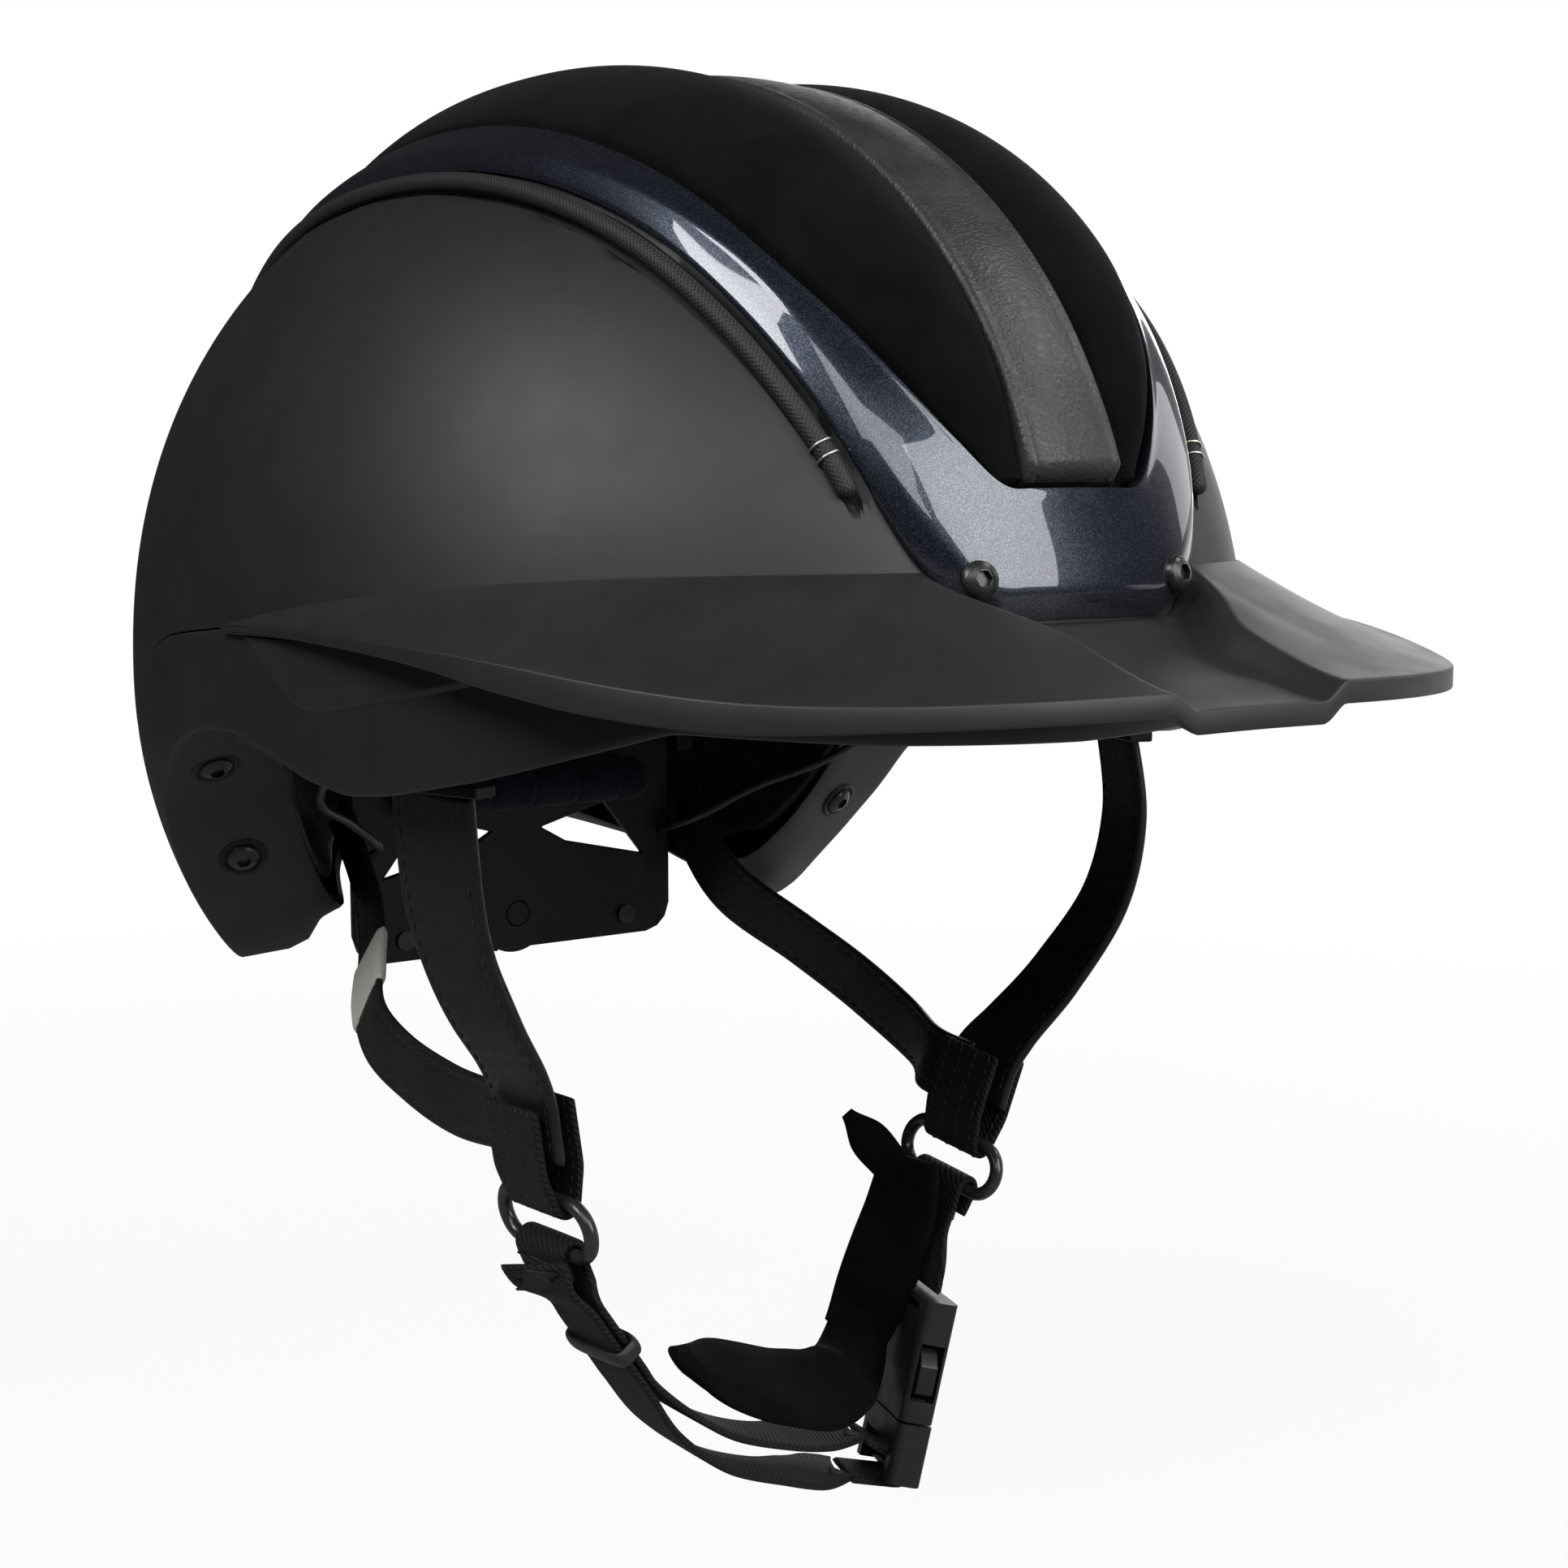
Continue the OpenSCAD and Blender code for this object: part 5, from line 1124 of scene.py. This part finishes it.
for name, node, body, width in (
        ("cradle_moulding", "cradle_plate", "cradle", 0.5), ("dial_case", "dial_housing", "cradle", 0.35),
        ("dial_wheel", "dial_knob", "dial", 0.35)):
    eased_moulding(name, node, moulded_black, body, width)
for ours, node, width in (("guide_", "cable_guide_", 0.5), ("anchor_front_", "front_anchor_", 0.5),
                          ("anchor_rear_", "rear_anchor_", 0.6)):
    for side, name in SIDES:
        eased_moulding(ours + name, node + name, moulded_black, "helmet", width)
for name, node, body, width in (
        ("clasp_socket", "buckle_socket", "chin_strap", 1.0), ("clasp_plug", "buckle_plug", "plug", 0.8),
        ("clasp_prong_front", "prong_front", "front_prong", 0.35),
        ("clasp_prong_rear", "prong_rear", "rear_prong", 0.35)):
    eased_moulding(name, node, buckle_black, body, width)
for node in ("frame_screws", "lobe_screws", "cradle_rivets"):
    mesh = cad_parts[node].data
    mesh.materials.clear()
    mesh.materials.append(screw_satin)
print("mouldings eased, screws and rivets finished")

# %% [markdown]
# Straps and webbing are ribbons: a path, a width direction at every point of it, and a flat section with soft edges.
# The path is the model's own, sampled every half millimetre and rounded a little, so a fold has no corner. The leather
# section is slightly crowned; webbing is flat.

# %% Ribbons
STITCH_R = 0.24


def eased_path(points, across, step=0.5, reach=0.8):
    """Points spaced evenly along a path and averaged over a short reach, with width directions and side normals."""
    p, w = np.asarray(points, float), unit(np.asarray(across, float))
    s = run_of(p)
    u = np.linspace(0, s[-1], max(int(s[-1] / step), 4) + 1)
    p, w = sampled(p, s, u), sampled(w, s, u)
    k = max(int(reach / step), 1)
    weights = np.ones(2 * k + 1) / (2 * k + 1)
    for rounds in range(2):
        p_ext = np.concatenate([2 * p[0] - p[k:0:-1], p, 2 * p[-1] - p[-2:-k - 2:-1]])
        w_ext = np.concatenate([w[:1].repeat(k, 0), w, w[-1:].repeat(k, 0)])
        p, w = (np.stack([np.convolve(v[:, j], weights, "valid") for j in range(3)], 1) for v in (p_ext, w_ext))
    ahead = unit(np.gradient(p, axis=0))
    side = unit(w - ahead * (w * ahead).sum(1, keepdims=True))
    return p, ahead, side, np.cross(ahead, side)


def flat_section(width, thick, crown, dip_at):
    """Half-round edges joined by two faces; crown lifts the middle of both faces, dip_at sinks a line near each edge
    for its stitches."""
    r = thick / 2
    a = np.radians(np.linspace(-90, 90, 9))
    x = np.linspace(-1, 1, 22) * (width / 2 - r)
    lift = crown * (1 - (x / (width / 2)) ** 2)
    if dip_at is not None:
        lift = lift - 0.16 * np.exp(-((np.abs(x) - dip_at) / 0.55) ** 2)
    edge = np.stack([width / 2 - r + r * np.cos(a), r * np.sin(a)], 1)
    low, high = np.stack([x, -r - lift], 1), np.stack([x[::-1], r + lift[::-1]], 1)
    return np.concatenate([low[:-1], edge[:-1], high[:-1], -edge[:-1]])


def ribbon(name, path, width, thick, finish, body, crown=0.0, dip_at=None, **more):
    """The section carried along an eased path; both ends close softly."""
    p, ahead, side, over = path
    x, y = flat_section(width, thick, crown, dip_at).T[..., None]
    run = run_of(p)
    thin = round_end(np.minimum(run, run[-1] - run), thick / 2, 0.05)
    rings = p[:, None] + x * side[:, None] + y * thin[:, None, None] * over[:, None]
    return add_loft(name, rings, finish, body, smooth_angle=0, **more)


def webbing(name, path, body, node, width=16.0):
    """A ribbon of the chin strap's own webbing in place of a model solid."""
    return ribbon(name, path, width, 1.5, twill_black, body, crown=0.05, replaces=[node], slot="webbing")


def stitch_row(name, path, offsets, height, body, slot, pitch=3.2, length=2.2, skip=3.0):
    """Short threads on both faces of a path, at offsets on its width: a capsule of six sides, repeated at the pitch."""
    p, ahead, side, over = path
    run = run_of(p)
    at = np.arange(skip, run[-1] - skip, pitch)
    p, ahead, side, over = (sampled(v, run, at) for v in (p, ahead, side, over))
    u = np.array([-0.5, -0.42, -0.2, 0.2, 0.42, 0.5])[:, None] * length
    radius = STITCH_R * np.array([0.05, 0.7, 1, 1, 0.7, 0.05])
    sink = -STITCH_R * np.array([1.2, 0.5, 0, 0, 0.5, 1.2])
    c, s = (v[:, 0] for v in circle(6))
    wide, deep = np.outer(radius, c)[..., None], (sink[:, None] + np.outer(radius, s))[..., None]
    one = np.concatenate([net_faces(6, 6), [[0, 1, 2, 3], [0, 3, 4, 5], [30, 33, 32, 31], [30, 35, 34, 33]]])
    points, faces = [], []
    for offset in offsets:
        for face in (1, -1):
            first = 36 * (len(at) * len(points) + np.arange(len(at)))
            block = (one[None] + first[:, None, None]).reshape(-1, 4)
            faces.append(block[:, ::-1] if face < 0 else block)
            centre = p + side * offset + over * (height * face)
            middle, run_way, side_way, out_way = (v[:, None, None] for v in (centre, ahead, side, face * over))
            thread = middle + u[:, None] * run_way + wide * side_way + deep * out_way
            points.append(thread.reshape(-1, 3))
    return add_piece(name, np.concatenate(points), [np.concatenate(faces)], stitch_thread, body, slot=slot,
                     smooth_angle=0)


def curve(points, across, n=260):
    """The smooth curve through given points, with its width directions."""
    u = np.linspace(0, len(points) - 1, n)
    return eased_path(through(points, u), through(across, u))


print("ribbon helpers ready")

# %% [markdown]
# Four leather straps hang from the shell, two on each side, and end in a webbing fold. Where the leather was sewn, a
# row of short threads lies in a shallow dip beside each edge, on both faces. Their paths repeat the model's.

# %% Leather straps
def square_to(v, d):
    """The direction of v with its part along d taken out."""
    v, d = np.asarray(v, float), np.asarray(d, float)
    return unit(v - d * (v @ d))


FRONT_OFF, REAR_OFF, LAYER_OFF = 1.05, -1.25, 4.4
folds = {}
for side, name, at, down, out in ((-1, "right", (-60.0, -50, -70), (0.155, 0.02, -0.988), (-0.98, -0.12, 0)),
                                  (1, "left", (62.0, -36, -80), (-0.28, 0.11, -0.954), (0.98, 0.1, 0))):
    down = unit(np.array(down))
    out = square_to(out, down)
    folds[name] = np.array(at), down, out, -side * np.cross(down, out)
front_points = {
    "right": [[-84.4, -57.4, 1.1], [-81, -54, -19.5], [-77, -52, -32.5], [-72, -53, -45], [-66, -52.5, -55.5]],
    "left": [[83.9, -57.7, 1.1], [84.5, -60, -17], [82, -57, -36], [76, -48, -54], [69, -40.5, -67]]}
front_across = {
    "right": [[-0.34, 0.94, 0], [-0.34, 0.94, 0], [-0.3, 0.94, 0], [-0.28, 0.94, 0], [-0.2, 0.95, 0]],
    "left": [[0.34, 0.94, 0], [0.3, 0.95, 0], [0.25, 0.95, 0], [0.2, 0.95, 0.1], [0.1, 0.97, 0.1]]}
rear_points = {
    "right": [[-47.3, 66.5, -20], [-46.5, 56.5, -34], [-49.5, 45, -45.5], [-57, 31, -55], [-62.5, 16, -61.5],
              [-63.5, -2, -66], [-62, -20, -69]],
    "left": [[47.3, 66.5, -20], [46.5, 56.5, -34], [49.5, 45, -46], [59, 29, -57], [65.5, 14, -66], [67.5, -6, -75]]}
rear_across = {
    "right": [[0.1, 0.8, -0.6], [0.1, 0.78, -0.63], [-0.1, 0.6, -0.8], [-0.22, 0.43, -0.87], [-0.1, 0.3, -0.95],
              [0, 0.1, -0.98], [0, 0, -1]],
    "left": [[-0.1, 0.8, -0.6], [-0.1, 0.78, -0.63], [-0.1, 0.6, -0.8], [0, 0.5, -0.87], [0, 0.35, -0.93],
             [0, 0.1, -0.99]]}
for side, (at, down, out, across) in folds.items():
    front = curve(front_points[side] + [at + out * FRONT_OFF + down * q for q in (-5, 4)],
                  front_across[side] + [across] * 2)
    rear = curve(rear_points[side] + [at + out * REAR_OFF + across * q - down for q in (14, 2)],
                 rear_across[side] + [down] * 2)
    for kind, path, width, thick, hide, slot in (("front", front, 20.0, 2.4, strap_leather, "strap_leather"),
                                                 ("rear", rear, 15.0, 1.5, rear_leather, "rear_leather")):
        seam = width / 2 - 2.0
        ribbon(f"{kind}_leather_{side}", path, width, thick, hide, "helmet", crown=0.12, dip_at=seam,
               replaces=[f"{kind}_strap_{side}"], slot=slot)
        stitch_row(f"{kind}_stitches_{side}", path, (-seam, seam), thick / 2 - 0.02, "helmet", "strap_leather")
print("four leather straps with stitched edges")

# %% [markdown]
# A woven tag is folded round the right rear strap and sewn shut: a flat tube, a little larger than the strap inside
# it. It is left blank.

# %% Blank tag
u = np.linspace(2.35, 3.4, 90)
line, dirs = through(rear_points["right"], u), through(rear_across["right"], u)
ribbon("blank_tag", eased_path(line, dirs), 16.4, 2.7, tag_weave, "helmet", replaces=["care_tag"], slot="tag")
print("a blank woven tag on the right rear strap")

# %% [markdown]
# A fold of webbing holds both straps of a side and hangs a ring from its turn. The ring is an oval of round plastic
# wire: a circle carried round two straight bars and two half circles.

# %% Webbing folds and rings
TURN_R, BAR_UP, BAR_LOW, RING_DROP, RING_BAR, RING_BEND, RING_WIRE = 2.65, 12.5, 23.5, 18.0, 8.75, 5.5, 1.5


def half_turn(at, down, out, drop, s):
    """Half a circle round a bar, below it for s = 1 and above it for s = -1."""
    a = np.radians(np.linspace(0, 180, 25))[:, None]
    return at + out * TURN_R * np.cos(a) + down * (drop + s * TURN_R * np.sin(a))


for side, (at, down, out, across) in folds.items():
    line = np.concatenate([[at + out * LAYER_OFF - down * 8, at + out * LAYER_OFF + down * 6],
                           half_turn(at, down, out, BAR_UP, 1),
                           [at - out * LAYER_OFF + down * 6, at - out * LAYER_OFF - down * 8]])
    path = eased_path(line, np.tile(across, (len(line), 1)), reach=1.0)
    webbing("webbing_fold_" + side, path, "chin_strap", "strap_fold_" + side, 17.0)
    stitch_row("fold_stitches_" + side, path, (-6.4, -2.2, 2.2, 6.4), 0.77, "chin_strap", "webbing", pitch=2.6,
               length=1.9, skip=1.2)
    a = np.linspace(0, np.pi, 40)
    oval = np.stack([RING_BAR + RING_BEND * np.sin(a), RING_BEND * np.cos(a)], 1)
    oval = np.concatenate([oval, -oval, oval[:1]])
    run = run_of(oval)
    oval = sampled(oval, run, np.linspace(0, run[-1], 151)[:-1])
    centre = at + down * RING_DROP + oval[:, :1] * across - oval[:, 1:] * down
    ahead = unit(np.roll(centre, -1, axis=0) - np.roll(centre, 1, axis=0))
    rings = rings_round(centre, RING_WIRE * out, RING_WIRE * np.cross(ahead, out), 14)
    add_loft("oval_ring_" + side, rings, ring_gloss, "chin_strap", closed=True, replaces=["ring_" + side], slot="ring")
print("two webbing folds and two rings")

# %% [markdown]
# The chin strap is one length of webbing: round the right ring, down through the keeper, under the chin and round the
# buckle's bar. Its free end lies on top and is closed by a dense zigzag of thread, which stops it from fraying.

# %% Chin webbing, its tail and the keeper
keeper_at = np.array([-46.5, -52.5, -113.8])
keeper_along = unit(np.array([0.567, 0.05, -0.82]))
keeper_across = square_to([0.12, -0.99, 0], keeper_along)
keeper_out = np.cross(keeper_along, keeper_across)
PAIR_OFF, KEEPER_RUN = 1.0, (-12, -6, 6, 12)
SWING, BARTACK_R = 6.9, 0.3
buckle_top = np.array([45.0, -40.5, -125])
buckle_down = unit(np.array([-0.265, 0, -0.964]))
buckle_across = square_to([0.32, 0.925, -0.2], buckle_down)
buckle_in = np.cross(buckle_across, buckle_down)


def in_buckle(x, z):
    """The place x inwards of the buckle's top and z down from it, in its own directions."""
    return buckle_top + buckle_in * x + buckle_down * z


def zigzag(count, turns):
    """How far aside a thread lies at each of count steps, while it swings across and back."""
    return SWING * (2 / np.pi) * np.arcsin(np.sin(np.linspace(0, turns * np.pi, count)))[:, None]


run_across = [[-0.05, 1, 0], [0, 1, 0], [0, 1, 0], [0.2, 0.95, 0]] + [buckle_across] * 3
inner_points = [keeper_at - keeper_out * PAIR_OFF + keeper_along * q for q in KEEPER_RUN]
inner_points += [[-29, -49.5, -131.5], [-16, -47, -140.5], [-1, -44.5, -147], [13, -40, -151.6]]
inner_points += [in_buckle(10.8 + q, 33.7) for q in (2.4, 1.2, 0)]
inner_across = [-keeper_across] * 4 + run_across
u = np.linspace(0, len(inner_points) - 1, 300)
at, down, out, across = folds["right"]
start = np.concatenate([[at + out * 1.3 + down * (BAR_LOW + 5)], half_turn(at, down, out, BAR_LOW, -1),
                        [at - out * (TURN_R - 0.3) + down * (BAR_LOW + 4)]])
line = np.concatenate([start, through(inner_points, u)])
across_line = np.concatenate([np.tile(across, (len(start), 1)), through(inner_across, u)])
chin_web = webbing("chin_web", eased_path(line, across_line), None, "chin_webbing")
outer_points = [[-62.5, -53.2, -94.6], [-59.8, -53.2, -99.8]]
outer_points += [keeper_at + keeper_out * PAIR_OFF + keeper_along * q for q in KEEPER_RUN]
outer_points += [[-32, -50, -135.5], [-18, -47.5, -147], [-1, -44.5, -155], [11, -40, -159.8]]
outer_points += [in_buckle(12.3 + q, 42.7) for q in (2.4, 1.2, 0)]
outer_across = [[-0.5, 0.85, 0.05], [-0.36, 0.93, 0]] + [-keeper_across] * 4 + run_across
tail_path = curve(outer_points, outer_across, 340)
tail_web = webbing("tail_web", tail_path, None, "webbing_tail")
# both run to the plug's bar and belong to no body, so their places are baked into their points
for piece in (chin_web, tail_web):
    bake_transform(piece)
# the zigzag that binds the cut end: short threads across the first 5 mm
p, ahead, side, over = tail_path
zig = sampled(p, np.arange(len(p)), np.linspace(2, 12, 46))
zig = zig + zigzag(46, 23) * side[5] + 0.82 * over[5] * np.sign(over[5] @ keeper_out)
add_loft("tail_bartack", tube(zig, BARTACK_R, 6, over[5]), stitch_thread, "chin_strap", slot="webbing",
         smooth_angle=0)
rise = np.linspace(0, 1, 40)[:, None]
zig = at + down * mix(25.0, 28.2, rise) + out * (mix(2.6, 1.5, rise) + 0.85) + zigzag(40, 19) * across
add_loft("ring_bartack", tube(zig, BARTACK_R, 6, out), stitch_thread, "chin_strap", slot="webbing", smooth_angle=0)
print("webbing runs", round(float(run_of(line)[-1])), "mm; its tail", round(float(run_of(p)[-1])), "mm")

# %% [markdown]
# The keeper is a moulded rubber band that holds both layers: a rounded box round the webbing, swept by a flat oval.

# %% Keeper band
KEEPER_WIDE, KEEPER_DEEP, BAND_THICK, BAND_WIDE = 9.1, 2.85, 0.68, 1.9
c, s = circle(72)
centre = keeper_at + spow(c, 0.42) * KEEPER_WIDE * keeper_across + spow(s, 0.42) * KEEPER_DEEP * keeper_out
outward = unit(c * keeper_across * 0.5 + s * keeper_out)
add_loft("keeper_band", rings_round(centre, BAND_THICK * outward, BAND_WIDE * keeper_along, 16), band_rubber,
         "keeper", closed=True, replaces=["keeper_ring"], slot="rubber", smooth_angle=0)
print("keeper band round both layers")

# %% [markdown]
# A suede pad lies under the chin and another wraps the left strap above the buckle. Both are two layers of suede
# over thin foam, sewn together at the edge: full in the middle and thin at the seam. The leaf-shaped ends come from a
# width that changes along the path.

# %% Suede chin pad and sleeve
PAD_SEAM, SEAM_DIP = 0.22, 0.28


def sewn_pad(name, points, across, widths, thick, node):
    """A lens-shaped section along a path: its thickness falls to a thin seam at both edges and at both ends."""
    u = np.linspace(0, len(points) - 1, 200)
    p, ahead, side, over = eased_path(through(points, u), through(across, u))
    wide = np.interp(np.linspace(0, len(points) - 1, len(p)), u, through(widths, u)[:, 0])
    run = np.linspace(0, 1, len(p))
    f = np.linspace(-1, 1, 25)
    full = np.clip(1 - np.abs(f) ** 3.2, 0, 1) ** 0.55
    lengthwise = np.minimum(1, np.sqrt(np.minimum(run, 1 - run) / 0.05 + 0.08))
    dip = SEAM_DIP * np.exp(-((np.abs(f) - 0.8) / 0.06) ** 2)
    height = PAD_SEAM + np.outer(lengthwise, (thick / 2 - PAD_SEAM) * full - dip)
    flat = p[:, None] + np.outer(wide / 2, f)[..., None] * side[:, None]
    rise = height[..., None] * over[:, None]
    pad = add_loft(name, np.concatenate([flat + rise, (flat - rise)[:, ::-1]], axis=1), suede_black, "chin_strap",
                   replaces=[node] if node else (), slot="suede", smooth_angle=0)


sewn_pad("chin_cushion", [[-23, -41, -125], [-14, -42, -130], [0, -42, -136.5], [13, -40.5, -141], [23, -37.5, -141.5],
                          [29, -32.5, -140.5], [33.5, -29, -137], [36.5, -28, -131]],
         [[0, 0.95, 0.3], [0, 0.85, 0.5], [0, 0.83, 0.55], [0.1, 0.83, 0.55], [0.15, 0.85, 0.5], [-0.1, 0.88, 0.45],
          [-0.4, 0.85, 0.3], [-0.5, 0.85, 0.1]],
         [5, 18, 22, 22, 22, 19, 16, 14], 4.6, "chin_pad")
sewn_pad("strap_sleeve", [[47.2, -31, -96.5], [46.4, -31, -102], [44.2, -30, -112.4], [39.2, -27.5, -127.4],
                          [35.4, -25, -139]],
         [[-0.1, 0.97, 0.05], [-0.1, 0.97, 0], [-0.1, 0.97, 0], [-0.1, 0.97, 0], [-0.15, 0.96, 0]],
         [19, 22, 24, 23, 19], 4.2, "buckle_sleeve")
sewn_pad("sleeve_leaf", [[40.5, -16, -88.5], [42.5, -21.5, -93.5], [44.5, -27, -98.5], [45.6, -31, -103]],
         [[0.61, -0.31, 0.72]] * 4, [3, 9, 9, 7], 2.4, None)
print("chin pad, sleeve and its leaf-shaped tip sewn")

# %% [markdown]
# On the left the ring carries the buckle's socket by a short tab of the same webbing. Another piece is wrapped round
# the plug's bar and sewn to the end of the chin strap.

# %% Tab above the buckle and wrap round its bar
WRAP_R, BAR_Z = 2.85, 39.3
at, down, out, across = folds["left"]
start = np.concatenate([[at + out * 1.3 + down * (BAR_LOW + 6)], half_turn(at, down, out, BAR_LOW, -1)])
knots = [at - out * (TURN_R - 0.5) + down * (BAR_LOW + 8.5), in_buckle(0.2, -8)]
knots += [in_buckle(0, q) for q in (-4.5, -2.8, -1)]
u = np.linspace(0, 4, 80)
line = np.concatenate([start, through(knots, u)])
across_line = np.concatenate([np.tile(across, (len(start), 1)), through([across] + [buckle_across] * 4, u)])
webbing("tab_web", eased_path(line, across_line), "chin_strap", "buckle_tab")
line = np.concatenate([[in_buckle(9, BAR_Z - 5.6), in_buckle(3.5, BAR_Z - WRAP_R - 0.6)],
                       [in_buckle(-WRAP_R * math.cos(q), BAR_Z + WRAP_R * math.sin(q))
                        for q in np.radians(np.linspace(-90, 90, 25))],
                       [in_buckle(3.5, BAR_Z + WRAP_R + 0.2), in_buckle(10.5, BAR_Z + 3.4)]])
webbing("wrap_web", eased_path(line, np.tile(buckle_across, (len(line), 1))), "plug", "plug_wrap")
print("tab and wrap in place")

# %% [markdown]
# Two thin cables run from a guide on the foam to the cradle, and pull it in when the dial turns. Each bends between
# the helmet and the cradle, so it belongs to neither body: its place is baked into its points.

# %% Tension cables
ROUTE = [[70.2, -32, 17], [72.5, -14, 8], [72.5, 10, -2], [67.5, 31, -13], [55, 43, -20], [44, 52, -27.5],
         [41, 65.2, -32]]
for side, name in SIDES:
    line = through(ROUTE, np.linspace(0, 6, 200)) * [side, 1, 1]
    cable = add_loft("cable_" + name, tube(line, 1.0, 12), cable_sheath, None,
                     replaces=["tension_cable_" + name], slot="cable", smooth_angle=0)
    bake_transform(cable)
print("two cables")

# %% [markdown]
# Last, the script works out where each feature shows in the picture, and prints the whole object's size.

# %% Where the features show in the picture
shown = [o for o in bpy.context.scene.objects if o.type == "MESH" and not o.hide_render and o is not floor]
meshes = {o.name: finished_mesh(o) for o in shown}
every_point, whole = joined(list(meshes.values()))
to_camera = np.array(camera.matrix_world.inverted())


def in_picture(points):
    """The picture places of many points at once."""
    p = points @ to_camera[:3, :3].T + to_camera[:3, 3]
    k = L * LENS / SENSOR / -p[:, 2]
    return np.stack([W / 2 + p[:, 0] * k, H / 2 - p[:, 1] * k], 1)


def showing(points):
    """Those of the points that the camera sees: nothing lies more than 0.3 mm in front of them."""
    points = points[::max(1, len(points) // 700)]
    aims = points - np.array(CAMERA_PLACE)
    far = np.linalg.norm(aims, axis=1)
    free = [whole.ray_cast(CAMERA_PLACE, Vector(a), f - 0.0003)[0] is None for a, f in zip(aims / far[:, None], far)]
    return points[np.array(free)]


def part_of(names, keep=None):
    """The points of the named meshes, or those of them to keep."""
    points = np.concatenate([meshes[n][0] for n in names])
    return points[keep(points)] if keep else points


features = {
    "near_frame_screw": part_of(["frame_screws"], lambda p: p[:, 0] < 0),
    "far_frame_screw": part_of(["frame_screws"], lambda p: p[:, 0] > 0),
    "near_cord_bands": part_of(["thread_right_1", "thread_right_2"]),
    "far_cord_bands": part_of(["thread_left_1", "thread_left_2"]),
    "low_lobe_screw": part_of(["lobe_screws"], lambda p: (p[:, 0] < 0) & (p[:, 2] < -0.019)),
    "high_lobe_screw": part_of(["lobe_screws"], lambda p: (p[:, 0] < 0) & (p[:, 2] > -0.019)),
    "right_ring": part_of(["oval_ring_right"]), "left_ring": part_of(["oval_ring_left"]),
    "keeper": part_of(["keeper_band"]), "buckle": part_of(["clasp_socket"]),
    "near_strap": part_of(["front_leather_right"]), "visor_ridge_end": part_of(
        ["visor_sheet"], lambda p: (np.abs(p[:, 0] + 0.020) < 0.0015) & (p[:, 1] < -0.178)),
}
picture = in_picture(every_point)
low, high = picture.min(0), picture.max(0)
for name, points in features.items():
    seen_at = in_picture(showing(points))

# %% Size and finish
low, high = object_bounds()
print("visual box in mm:", [round(1000 * float(v), 1) for v in (*low, *high)])
